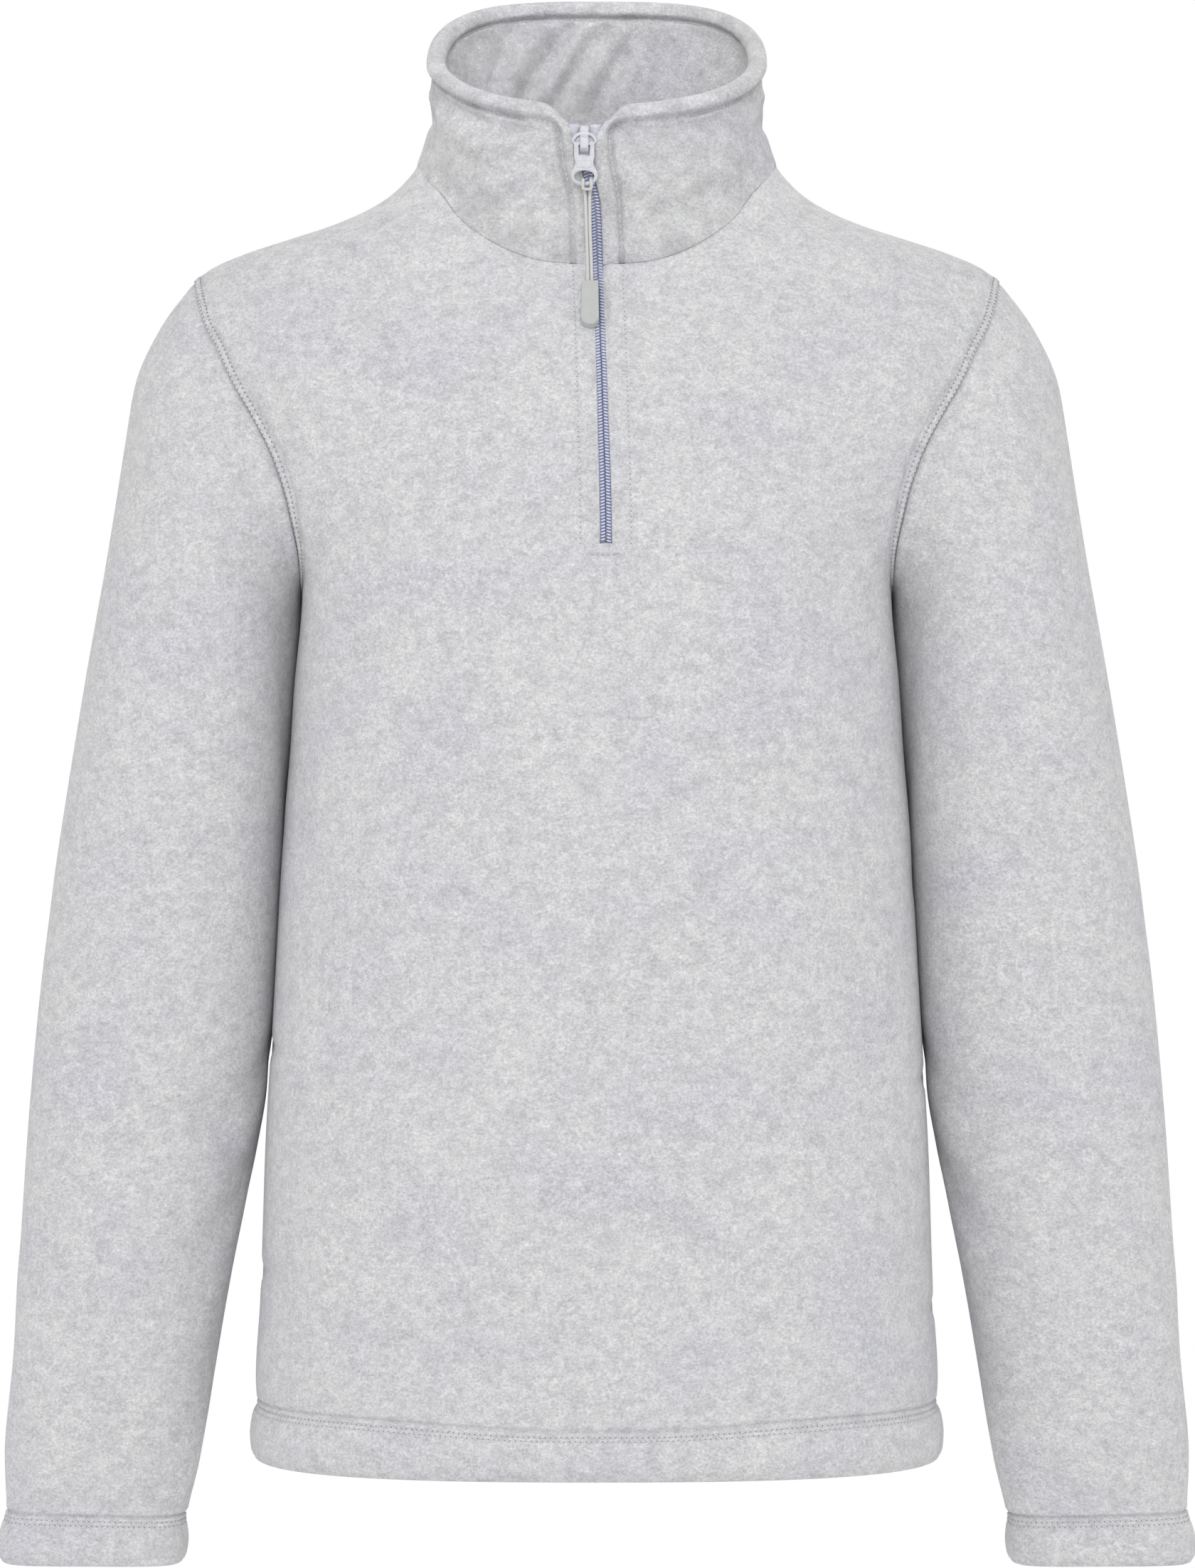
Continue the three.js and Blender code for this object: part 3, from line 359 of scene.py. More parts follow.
neck_side = (
    bezier([(ARM_OUTER, WINDOW_BOTTOM + 0.6), (ARM_OUTER, -7.8), (NECK_HALF, -8.4),
            (NECK_HALF, NECK_HEIGHT)], 8)
    + bezier([(NECK_HALF, NECK_HEIGHT), (NECK_HALF, EYE_HEIGHT + 4.4), (EYE_OUTER[0], EYE_HEIGHT + 3.4),
              (EYE_OUTER[0] - 0.2, EYE_HEIGHT)], 12)
)
neck_inside = [(EYE_INNER[0] * math.cos(t) * 1.02, EYE_HEIGHT + EYE_INNER[1] * math.sin(t) * 1.02)
               for t in np.linspace(0, np.pi, 17)]
neck_outline = neck_side + neck_inside + [(-x, z) for x, z in neck_side[::-1]]
arm = [(ARM_INNER, BAR_TOP), (ARM_OUTER, BAR_TOP), (ARM_OUTER, WINDOW_BOTTOM - 0.3),
       (ARM_INNER, WINDOW_BOTTOM - 0.3)]
bar = [(-ARM_INNER - 0.5, BAR_BOTTOM), (ARM_INNER + 0.5, BAR_BOTTOM), (ARM_INNER + 0.5, BAR_TOP),
       (-ARM_INNER - 0.5, BAR_TOP)]
panel = [(-PANEL[0], PANEL[2]), (PANEL[0], PANEL[2]), (PANEL[0], PANEL[1]), (-PANEL[0], PANEL[1])]
half = PULLER_HALF_THICKNESS
puller = moulded("puller_casting", [
    prism(neck_outline, -half, half),
    prism(arm, -half, half),
    prism([(-x, z) for x, z in arm[::-1]], -half, half),
    prism(bar, -half, half),
    prism(panel, 0, half + PANEL_RISE),
    oval_ring(EYE_HEIGHT, EYE_OUTER, EYE_INNER, half + EYE_RISE),
], CAST_VOXEL, CAST_ROUNDS, lacquer, place=PIVOT)
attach(puller, "pull_tab")
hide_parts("puller")

# ---------------------------------------------------------------- slider
# A die-cast slider, sprayed the same pale grey. Its crown plate lies in front of the coil and its
# lower plate behind, joined by a nose, and a bridge over the crown holds the puller.
PLATE_BACK = np.array([-6.3, -76.227, 7.6])
PLATE_HALF, PLATE_TOP, PLATE_BOTTOM = 6.4, 6.4, -6.6
PLATE_THICKNESS = 1.2
NOSE_HALF, NOSE_TOP = 2.1, 9.4
LOWER_HALF, LOWER_DEPTH = 5.0, -10.2
BRIDGE_HALF = 2.1
BRIDGE_PROFILE = [(0.6, -5.0), (4.1, -3.1), (5.0, -2.2), (5.0, 2.6), (4.1, 3.6), (0.6, 5.6), (0.6, 4.0),
                  (3.3, 2.8), (4.1, 1.9), (4.1, -1.6), (3.3, -2.4), (0.6, -3.6)]


def strap(profile, half_width):
    """A closed profile, given as depth forward and height, made as wide as the strap is."""
    return between(*([(x, -d, z) for d, z in profile] for x in (-half_width, half_width)))


crown_side = [(PLATE_HALF * 0.66, PLATE_BOTTOM), (PLATE_HALF * 0.76, -0.8)] + bezier(
    [(PLATE_HALF, 1.5), (PLATE_HALF, 3.6), (4.2, PLATE_TOP), (0, PLATE_TOP)], 12)
crown = crown_side + [(0, PLATE_TOP)] + [(-x, z) for x, z in crown_side[::-1]]
edge = crown + [(x * 0.78, z * 0.78 - 0.2) for x, z in (crown + crown[:1])[::-1]] + crown[:1]
wedge_side = [(NOSE_HALF * 0.8, 5.0), (NOSE_HALF, PLATE_TOP), (NOSE_HALF, NOSE_TOP)]
wedge = [(0, 2.2)] + wedge_side + [(-x, z) for x, z in wedge_side[::-1]]
lower_plate = [(-LOWER_HALF, PLATE_BOTTOM), (LOWER_HALF, PLATE_BOTTOM), (LOWER_HALF, PLATE_TOP - 1),
               (NOSE_HALF, NOSE_TOP), (-NOSE_HALF, NOSE_TOP), (-LOWER_HALF, PLATE_TOP - 1)]
slider = moulded("slider_casting", [
    prism(crown, 0, PLATE_THICKNESS * 0.6),
    prism(edge, 0, PLATE_THICKNESS + 0.9),
    prism(wedge, LOWER_DEPTH - 0.4, PLATE_THICKNESS + 0.2),
    prism(lower_plate, LOWER_DEPTH - 1.0, LOWER_DEPTH),
    strap(BRIDGE_PROFILE, BRIDGE_HALF),
], CAST_VOXEL, CAST_ROUNDS, lacquer, place=PLATE_BACK)
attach(slider, "pullover")
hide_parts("slider")

# ---------------------------------------------------------------- front and back
# Two panels of brushed fleece, cut, sewn together at the sides and shoulders, and turned up 26 mm at
# the hem under two rows of coverstitch. The front is slit from the neck for the zip.
SEAM_GAP = 0.3
HEM_BOTTOM, HEM_STITCH, ARMPIT, SHOULDER_TIP = -663.5, -637.0, -214.0, -55.0
YOKE_AT_CENTRE, YOKE_RISE, END_EASE = -82.0, 100.0, 0.04
SLIT_BOTTOM, BAR_HEIGHT, BAR_HALF = -196.0, -201.6, 9.5
FLEECE_CELL, EDGE_BULGE = 3.4, 0.35
PLACKET = 12.6
STITCH_PITCH = 2.7
HEM_ROWS, ARMHOLE_ROWS = (-2.9, -4.9), (1.5, 4.0)
HEM_RAISE, HEM_RAISE_TOP, HEM_RAISE_END = 4.4, -628.0, -570.0
# The body's rows: height, half width, depth of front and of back, squareness, wall of cloth.
BODY = [
    (-663.5, 178.4, 119.0, 117.0, 2.70, 4.6), (-650.0, 179.6, 120.6, 118.4, 2.70, 4.8),
    (-641.0, 178.4, 119.8, 117.4, 2.68, 4.6), (-635.0, 176.0, 118.0, 115.6, 2.65, 3.0),
    (-622.0, 176.6, 118.8, 115.6, 2.62, 2.6), (-580.0, 174.2, 118.4, 113.0, 2.60, 2.6),
    (-500.0, 171.4, 117.4, 107.0, 2.55, 2.6), (-420.0, 167.0, 116.4, 103.0, 2.55, 2.6),
    (-340.0, 162.4, 116.4, 104.0, 2.60, 2.6), (-270.0, 157.4, 118.0, 109.0, 2.76, 2.6),
    (-214.0, 152.2, 118.6, 112.6, 3.00, 2.6), (-204.0, 154.7, 118.2, 112.8, 2.85, 2.6),
    (-175.0, 173.0, 116.6, 112.6, 2.50, 2.6), (-150.0, 193.0, 113.0, 110.8, 2.30, 2.6),
    (-130.0, 208.0, 108.4, 108.0, 2.22, 2.6), (-111.0, 221.5, 101.4, 104.4, 2.16, 2.6),
    (-94.0, 227.5, 93.6, 100.4, 2.10, 2.6), (-79.0, 227.5, 86.0, 96.4, 2.05, 2.6),
    (-66.0, 221.0, 79.2, 92.6, 2.00, 2.6), (-55.0, 209.2, 73.0, 89.0, 2.00, 2.6),
    (-48.0, 200.6, 69.0, 86.6, 2.00, 2.6), (-41.0, 185.0, 64.6, 84.0, 2.00, 2.6),
    (-33.0, 161.0, 59.4, 80.8, 2.00, 2.6), (-26.0, 139.4, 55.6, 77.8, 2.00, 2.6),
    (-18.0, 120.6, 53.0, 74.0, 2.00, 2.6), (-11.0, 109.0, 52.2, 70.6, 2.00, 2.6),
    (-4.0, 101.0, 52.4, 67.6, 2.00, 2.6), (6.5, 93.4, 54.0, 63.4, 2.00, 2.6),
    (14.0, 92.6, 56.0, 60.0, 2.00, 2.6),
]
# The armhole's edge: height, and how far out it lies on the front and on the back.
ARMHOLE = [
    (-214.0, 152.2, 152.2), (-204.0, 151.8, 152.6), (-175.0, 156.4, 158.4), (-151.0, 164.0, 167.4),
    (-130.0, 174.6, 178.0), (-111.0, 185.8, 188.2), (-94.0, 194.0, 195.6), (-79.0, 201.8, 202.8),
    (-55.0, 209.2, 209.2),
]
# The neck seam: degrees round from centre front, and height.
NECKLINE = [
    (0, -53.0), (19, -51.0), (29, -47.6), (39, -41.4), (55, -27.0), (68, -10.0), (83, 4.0), (90, 6.5),
    (120, 10.0), (150, 12.6), (180, 13.4),
]
# The zip's line: height, how far to the side it lies, and half the gap between its two lips.
ZIP_LINE = [
    (-663.5, 0.0, 3.5), (-420.0, 1.5, 3.5), (-196.0, 4.6, 3.5), (-120.0, 2.8, 3.1), (-64.0, 0.8, 2.8),
    (-39.0, 0.0, 2.8), (-23.0, -0.8, 2.9), (-16.0, -2.2, 3.0), (-9.0, -4.0, 3.1), (2.0, -5.8, 3.2),
    (9.0, -6.5, 3.5), (13.0, -6.4, 5.6), (19.0, -5.6, 9.8), (28.0, -4.6, 13.6),
]
# Folds: front -1 or back 1, across, height, lean in degrees, length, width and rise of each. The
# first list is the same on both sides of the body; the second is slighter and lies on one side.
BODY_FOLDS = [
    (-1, 146, -128, 20, 44, 13, 2.6), (-1, 132, -168, 14, 46, 12, -2.2),
    (-1, 128, -262, -22, 60, 20, -1.8), (-1, 138, -560, 6, 80, 22, 1.6), (1, 150, -136, 18, 46, 14, 2.4),
    (1, 128, -196, 8, 60, 18, -2.4), (1, 96, -392, -62, 60, 24, -2.0), (1, 120, -540, 4, 90, 24, 1.8),
]
SLIGHT_FOLDS = [
    (-1, -118, -238, 34, 38, 9, -0.9), (-1, 122, -246, -30, 44, 10, -1.0),
    (-1, -134, -330, 64, 30, 9, -0.7), (-1, 138, -352, -58, 34, 10, -0.8),
    (-1, -60, -470, 70, 60, 16, -0.7), (-1, 74, -505, -66, 52, 14, -0.7),
    (-1, -20, -590, 82, 70, 15, 0.6), (-1, -172, -452, 78, 12, 4, -1.6), (-1, -170, -566, 74, 14, 4, -1.8),
    (-1, 172, -468, -76, 13, 4, -1.5), (-1, 170, -584, -72, 12, 4, -1.6), (-1, 96, -604, -76, 40, 11, 0.6),
    (-1, -140, -470, 12, 70, 12, -0.8), (-1, 143, -440, -8, 60, 12, -0.8),
    (-1, -70, -120, 52, 40, 14, -0.6), (-1, 84, -112, -48, 44, 13, -0.6),
    (1, -110, -250, 40, 44, 10, -1.1), (1, 118, -270, -36, 50, 11, -1.0), (1, -40, -420, 76, 70, 13, -1.0),
    (1, 52, -448, -70, 62, 14, -0.9), (1, -80, -330, 30, 60, 12, 0.9), (1, 20, -60, 88, 60, 13, -0.8),
    (1, -135, -480, 14, 70, 13, -0.9), (1, 138, -520, -10, 62, 12, 0.9),
]


def table(rows):
    """Smooth curves through the rows of a table, without overshoot. The first column is the place."""
    rows = np.array(rows, float)
    place, gap = rows[:, 0], np.diff(rows[:, 0])
    curves = []
    for value in rows[:, 1:].T:
        chord = np.diff(value) / gap
        slope = np.concatenate([chord[:1], np.zeros(len(chord) - 1), chord[-1:]])
        same = chord[:-1] * chord[1:] > 0
        before, after = chord[:-1][same], chord[1:][same]
        slope[1:-1][same] = 2 * before * after / (before + after)

        def curve(at, value=value, slope=slope):
            at = np.asarray(at, float)
            k = np.clip(np.searchsorted(place, at) - 1, 0, len(gap) - 1)
            t = np.clip((at - place[k]) / gap[k], 0, 1)
            return ((1 + 2 * t) * (1 - t) ** 2 * value[k] + t * t * (3 - 2 * t) * value[k + 1]
                    + gap[k] * t * (1 - t) * ((1 - t) * slope[k] - t * slope[k + 1]))

        curves.append(curve)
    return curves


half_width, depth_front, depth_back, squareness, body_wall = table(BODY)
armhole_front, armhole_back = table(ARMHOLE)
neck_height, = table(NECKLINE)
zip_across, zip_lip = table(ZIP_LINE)


def lerp(start, end, share):
    return start + (end - start) * share


def smooth_share(value, low, high):
    """0 below `low`, 1 above `high`, and a smooth rise between them."""
    t = np.clip((value - low) / (high - low), 0, 1)
    return t * t * (3 - 2 * t)


def groove(distance, depth, width):
    """A soft furrow, deepest at distance 0."""
    return -depth * np.exp(-(distance / width) ** 2)


def spacing(start, end, coarse, marks):
    """Places from start to end, `coarse` apart, and closer near each mark: (place, gap, reach)."""
    fine = np.linspace(start, end, 4001)
    density = np.full(len(fine), 1 / coarse)
    for place, gap, reach in marks:
        density += (1 / gap - 1 / coarse) * np.exp(-((fine - place) / reach) ** 2)
    count = np.concatenate([[0], np.cumsum((density[1:] + density[:-1]) / 2 * np.diff(fine))])
    return np.interp(np.linspace(0, count[-1], round(count[-1]) + 1), count, fine)


def oval(angle, width, depth, square):
    """The radius of a squared-off oval at an angle from its depth."""
    across, along = np.abs(np.sin(angle)) / width, np.abs(np.cos(angle)) / depth
    return (across ** square + along ** square) ** (-1 / square)


def fold_rise(folds, across, up):
    """How far a list of folds raises the cloth at each place."""
    total = np.zeros(np.broadcast(across, up).shape)
    for fold_across, fold_up, lean, length, width, rise in folds:
        lean = math.radians(lean)
        dx, dz = across - fold_across, up - fold_up
        beside = (dx * math.cos(lean) - dz * math.sin(lean)) / width
        along = (dx * math.sin(lean) + dz * math.cos(lean)) / length
        total = total + rise * np.exp(-beside ** 2 - along ** 4)
    return total


def body_point(angle, height, facing):
    """A point on the body's outer side. `angle` is from the centre line to the side seam."""
    depth = depth_front(height) if facing < 0 else depth_back(height)
    radius = oval(angle, half_width(height), depth, squareness(height))
    across = radius * np.sin(angle)
    radius = radius + fold_rise([f[1:] for f in BODY_FOLDS if f[0] == facing], np.abs(across), height)
    return np.stack([radius * np.sin(angle), facing * radius * np.cos(angle),
                     np.broadcast_to(height, radius.shape)], axis=-1)


def body_normal(angle, height, facing):
    """The outward direction of the body's side at an angle and a height."""
    angle = np.clip(angle, -np.pi / 2 + 0.004, np.pi / 2 - 0.004)
    across = body_point(angle + 0.002, height, facing) - body_point(angle - 0.002, height, facing)
    upward = body_point(angle, height + 0.3, facing) - body_point(angle, height - 0.3, facing)
    normal = np.cross(across, upward) * -facing
    return normal / np.linalg.norm(normal, axis=-1)[..., None]


def normals_of(points, faces):
    """The outward normal at each point of a mesh of four-cornered faces."""
    a, b, c, d = (points[faces[:, k]] for k in range(4))
    across = np.cross(c - a, d - b)
    total = np.zeros_like(points)
    for k in range(4):
        np.add.at(total, faces[:, k], across)
    return total / np.maximum(np.linalg.norm(total, axis=1), 1e-12)[:, None]


def grid_faces(rows, columns, cut=None, closed=False):
    """Faces of a grid of points numbered row by row. `cut` marks cells that are left out."""
    across = columns if closed else columns - 1
    i, j = np.meshgrid(np.arange(rows - 1), np.arange(across), indexing="ij")
    k = (j + 1) % columns
    faces = np.stack([i * columns + j, i * columns + k, (i + 1) * columns + k, (i + 1) * columns + j], -1)
    keep = np.ones(i.shape, bool) if cut is None else ~cut
    return faces[keep]


def open_edges(faces, count):
    """The edges that belong to one face only, in the direction of that face."""
    edges = np.concatenate([faces[:, [k, (k + 1) % 4]] for k in range(4)])
    keys = edges[:, 0] * count + edges[:, 1]
    return edges[~np.isin(keys, edges[:, 1] * count + edges[:, 0])]


def cloth_piece(name, base, faces, lift, wall, material, normals=None):
    """A wall of cloth: `base` lifted along its normals, an inner side behind it, rounded raw edges."""
    normals = normals_of(base, faces) if normals is None else normals
    outer = base + normals * np.reshape(lift, (-1, 1))
    inner = base - normals * np.reshape(wall, (-1, 1))
    count = len(base)
    rim = open_edges(faces, count)
    outward = np.zeros_like(base)
    leaving = np.cross(base[rim[:, 1]] - base[rim[:, 0]], normals[rim[:, 0]] + normals[rim[:, 1]])
    np.add.at(outward, rim[:, 0], leaving)
    np.add.at(outward, rim[:, 1], leaving)
    outward /= np.maximum(np.linalg.norm(outward, axis=1), 1e-12)[:, None]
    on_rim = np.unique(rim)
    number = {}
    points = [outer, inner]
    size = 2 * count
    for step, share in enumerate((0.15, 0.5, 0.85)):
        swell = EDGE_BULGE * math.sin(math.pi * share) * np.linalg.norm(outer - inner, axis=1)[on_rim, None]
        ring = lerp(outer[on_rim], inner[on_rim], share) + outward[on_rim] * swell
        number[step] = np.full(count, -1)
        number[step][on_rim] = size + np.arange(len(on_rim))
        points.append(ring)
        size += len(on_rim)
    a, b = rim[:, 0], rim[:, 1]
    layers = [np.arange(count), number[0], number[1], number[2], np.arange(count) + count]
    walls = [np.stack([low[b], low[a], high[a], high[b]], -1) for low, high in zip(layers, layers[1:])]
    every = np.concatenate([faces, faces[:, ::-1] + count] + walls)
    every_point = np.concatenate(points)
    used, place = np.unique(every, return_inverse=True)
    return new_mesh(name, every_point[used] * MM, place.reshape(every.shape), material)


def seam_angle(height):
    """The angle at which a panel ends beside the side seam."""
    return np.pi / 2 - SEAM_GAP / 2 / half_width(height)


def body_angle(across, height, facing):
    """The angle at which the body's section has the given distance from the middle."""
    depth = depth_front(height) if facing < 0 else depth_back(height)
    square = squareness(height)
    share = np.minimum(np.abs(across) / half_width(height), 1)
    along = depth * (1 - share ** square) ** (1 / square)
    return np.arctan2(across, np.maximum(along, SEAM_GAP / 2))


def yoke_height(u):
    """Height of the row of points that runs over the chest from one shoulder tip to the other."""
    return lerp(YOKE_AT_CENTRE, SHOULDER_TIP, u * u * (3 - 2 * u)) + YOKE_RISE * u * u * (1 - u)


def edge_share(share):
    """Share of the armhole's height, closer spaced at its two ends, where the edge turns level."""
    low, high = (part * part / (part + END_EASE) for part in (share, 1 - share))
    return low / (low + high)


def armhole_edge(height, facing):
    """Points on the edge of the left armhole, front or back."""
    across = armhole_front(height) if facing < 0 else armhole_back(height)
    return body_point(np.minimum(body_angle(across, height, facing), seam_angle(height)), height, facing)


def body_row(zone, place, facing, u, angle=None):
    """Heights along a row of a panel, and the angle of the row's end."""
    if zone == "side":
        near_hem = smooth_share(place, HEM_BOTTOM, HEM_STITCH - 6)
        near_hem *= 1 - smooth_share(place, HEM_RAISE_TOP, HEM_RAISE_END)
        return place + HEM_RAISE * smooth_share(u, 0.1, 0.62) * near_hem, seam_angle(place)
    if zone == "armhole":
        edge = armhole_edge(lerp(ARMPIT, SHOULDER_TIP, edge_share(place)), facing)
        share = lerp(place, edge_share(place), smooth_share(u, 0.5, 1))
        return lerp(ARMPIT, yoke_height(u), share), math.atan2(edge[0], abs(edge[1]))
    around = np.abs(np.degrees(u * np.pi / 2 if angle is None else angle))
    around = around if facing < 0 else 180 - around
    return lerp(yoke_height(u), neck_height(around), place), np.pi / 2 - SEAM_GAP / 200


# Rows of points: up the side seam, up the armhole, and over the shoulder. They lie closer at seams,
# at rows of stitching and at the bar under the zip, and one row ends the slit.
HEM_START = HEM_BOTTOM + 1.5
ARMHOLE_RUN, SHOULDER_RUN, PANEL_RUN, BAR_PLACE = 150, 80, 200, 14.1
slit_share = (SLIT_BOTTOM - ARMPIT) / (YOKE_AT_CENTRE - ARMPIT)
armhole_shares = spacing(0, ARMHOLE_RUN, FLEECE_CELL, [
    (0, 1.2, 8), (BAR_PLACE, 0.5, 1.6), (ARMHOLE_RUN, 1.2, 12)])[:-1] / ARMHOLE_RUN
armhole_shares[np.argmin(np.abs(armhole_shares - slit_share))] = slit_share
side_levels = spacing(HEM_START, ARMPIT, FLEECE_CELL,
                      [(HEM_START, 0.9, 3), (HEM_STITCH - 2, 0.5, 4.2), (ARMPIT, 1.6, 6)])[:-1]
shoulder_levels = spacing(0, SHOULDER_RUN, FLEECE_CELL, [(SHOULDER_RUN, 0.7, 4)]) / SHOULDER_RUN
levels = ([("side", z) for z in side_levels] + [("armhole", s) for s in armhole_shares]
          + [("shoulder", s) for s in shoulder_levels])
ARMHOLE_ROW, SHOULDER_ROW = len(side_levels), len(side_levels) + len(armhole_shares)
SLIT_ROW = ARMHOLE_ROW + int(np.argmin(np.abs(armhole_shares - slit_share)))
front_shares = spacing(0, PANEL_RUN, FLEECE_CELL, [
    (0, 0.8, 4), (PLACKET, 0.9, 3), (PANEL_RUN, 0.7, 5)]) / PANEL_RUN
back_shares = spacing(0, PANEL_RUN, FLEECE_CELL, [(PANEL_RUN, 0.7, 5)]) / PANEL_RUN
STRIP = np.array([0.33, 0.67])
NARROWING, DRAWN_FROM = 0.35, 0.55


def panel_grid(facing):
    """Points and normals of a panel's outer side, row by row from the hem, and from -X to +X."""
    shares = front_shares if facing < 0 else back_shares[1:]
    rows, row_normals = [], []
    for zone, place in levels:
        middle, end = body_row(zone, place, facing, np.zeros(1))
        if zone == "side" or zone == "armhole":
            end = body_row(zone, place, facing, np.ones(1))[1]
        left_start = right_start = 0.0
        strip_angles = np.zeros(1)
        if facing < 0:
            depth = depth_front(middle[0])
            left_start = math.atan2(zip_across(middle[0]) - zip_lip(middle[0]), depth)
            right_start = math.atan2(zip_across(middle[0]) + zip_lip(middle[0]), depth)
            strip_angles = lerp(left_start, right_start, STRIP)
        # A row beside the armhole bends in to its edge only near its end.
        wide = np.pi / 2 - NARROWING * (1 - abs(2 * place - 1) ** 3) if zone == "armhole" else end
        drawn_in = (end - wide) * smooth_share(shares, DRAWN_FROM, 1)
        left = lerp(left_start, -wide, shares) - drawn_in
        right = lerp(right_start, wide, shares) + drawn_in
        angles = np.concatenate([left[::-1], strip_angles, right])
        along = np.concatenate([body_row(zone, place, facing, shares, left)[0][::-1],
                                np.full(len(strip_angles), middle[0]),
                                body_row(zone, place, facing, shares, right)[0]])
        rows.append(body_point(angles, along, facing))
        row_normals.append(body_normal(angles, along, facing))
    return np.array(rows), np.array(row_normals)


def from_ends(points):
    """Distance of each point of a grid from the nearer end of its row."""
    run = np.array([run_along(row) for row in points])
    return np.minimum(run, run[:, -1:] - run)


def from_top(points):
    """Distance of each point of a grid from the top of its column."""
    run = np.stack([run_along(points[:, k]) for k in range(points.shape[1])], 1)
    return run[-1] - run


def placket_lift(x, z):
    """The stitched furrows beside the zip and under it, and the rounding of its two lips."""
    beside = np.abs(x - zip_across(z))
    run = smooth_share(z, BAR_HEIGHT - 1, BAR_HEIGHT + 3)
    lift = groove(beside - PLACKET, 0.5, 0.9) * run
    lift += groove(z - BAR_HEIGHT, 1.5, 0.8) * smooth_share(BAR_HALF + 0.9 - beside, 0, 2)
    in_slit = smooth_share(z, SLIT_BOTTOM - 1, SLIT_BOTTOM)
    lift += groove(np.maximum(beside - zip_lip(z), 0), 1.0, 1.5) * in_slit
    lift += 0.35 * np.exp(-((beside - 6.5) / 4.0) ** 2) * run
    return lift


def from_armhole(points, facing):
    """Distance of each point of a panel from the edge of the armhole on its own side."""
    height = lerp(ARMPIT, SHOULDER_TIP, edge_share(np.linspace(0, 1, 300)))
    mirrored = points * np.where(points[..., :1] < 0, (-1, 1, 1), (1, 1, 1))
    nearest = np.full(points.shape[:-1], np.inf)
    for place in armhole_edge(height, facing):
        nearest = np.minimum(nearest, np.linalg.norm(mirrored - place, axis=-1))
    return nearest


def panel_lift(points, facing):
    """How far seams, stitching and slight folds raise or lower a panel, and its wall there."""
    x, _, z = np.moveaxis(points, 2, 0)
    end, top, beside = from_ends(points), from_top(points), from_armhole(points, facing)
    level = np.array([place if zone == "side" else 0 for zone, place in levels])[:, None]
    pulled = 1.0 if facing < 0 else 0.5
    lift = fold_rise([f[1:] for f in SLIGHT_FOLDS if f[0] == facing], x, z)
    lift = lift + np.minimum(groove(end, 0.4, 0.8), groove(beside, 0.7, 0.8))
    # The seam allowance raises a band beside the armhole, and the sleeve's weight pulls a fold by it.
    lift = lift + groove(beside - 5.2, 1.3, 0.9) + 0.9 * np.exp(-((beside - 2.8) / 1.6) ** 2)
    lift = lift + pulled * np.exp(-((z + 152) / 44) ** 4) * (
        groove(beside - 6.4, 1.5, 1.9) + 0.8 * np.exp(-((beside - 11.5) / 3.4) ** 2))
    lift = lift + groove(top, 0.15, 0.8)
    lift = lift + groove(level - HEM_STITCH, 1.7, 0.8)
    for below in HEM_ROWS:
        lift = lift + groove(level - HEM_STITCH - below, 0.8, 0.6)
    lift = lift + groove(level - HEM_START, 1.5, 1.9)
    if facing < 0:
        lift = lift + placket_lift(x, z)
    wall = body_wall(z) * lerp(0.5, 1.0, smooth_share(np.minimum(np.minimum(end, top), beside), 0, 4))
    return lift, wall


# Brushed polyester fleece in a melange of white and grey fibres: a short, clumped, matt nap that
# catches light at grazing angles. Fibre flecks are drawn about 1 mm long, a little over life size.
# Each kind of unevenness has its size in metres, its detail and its roughness.
FLEECE_NOISE = {"cloud": (0.0062, 4.0, 0.62), "clump": (0.0021, 3.0, 0.6), "fibre": (0.0010, 2.0, 0.6),
                "drift": (0.045, 3.0, 0.5), "patch": (0.013, 2.0, 0.5)}


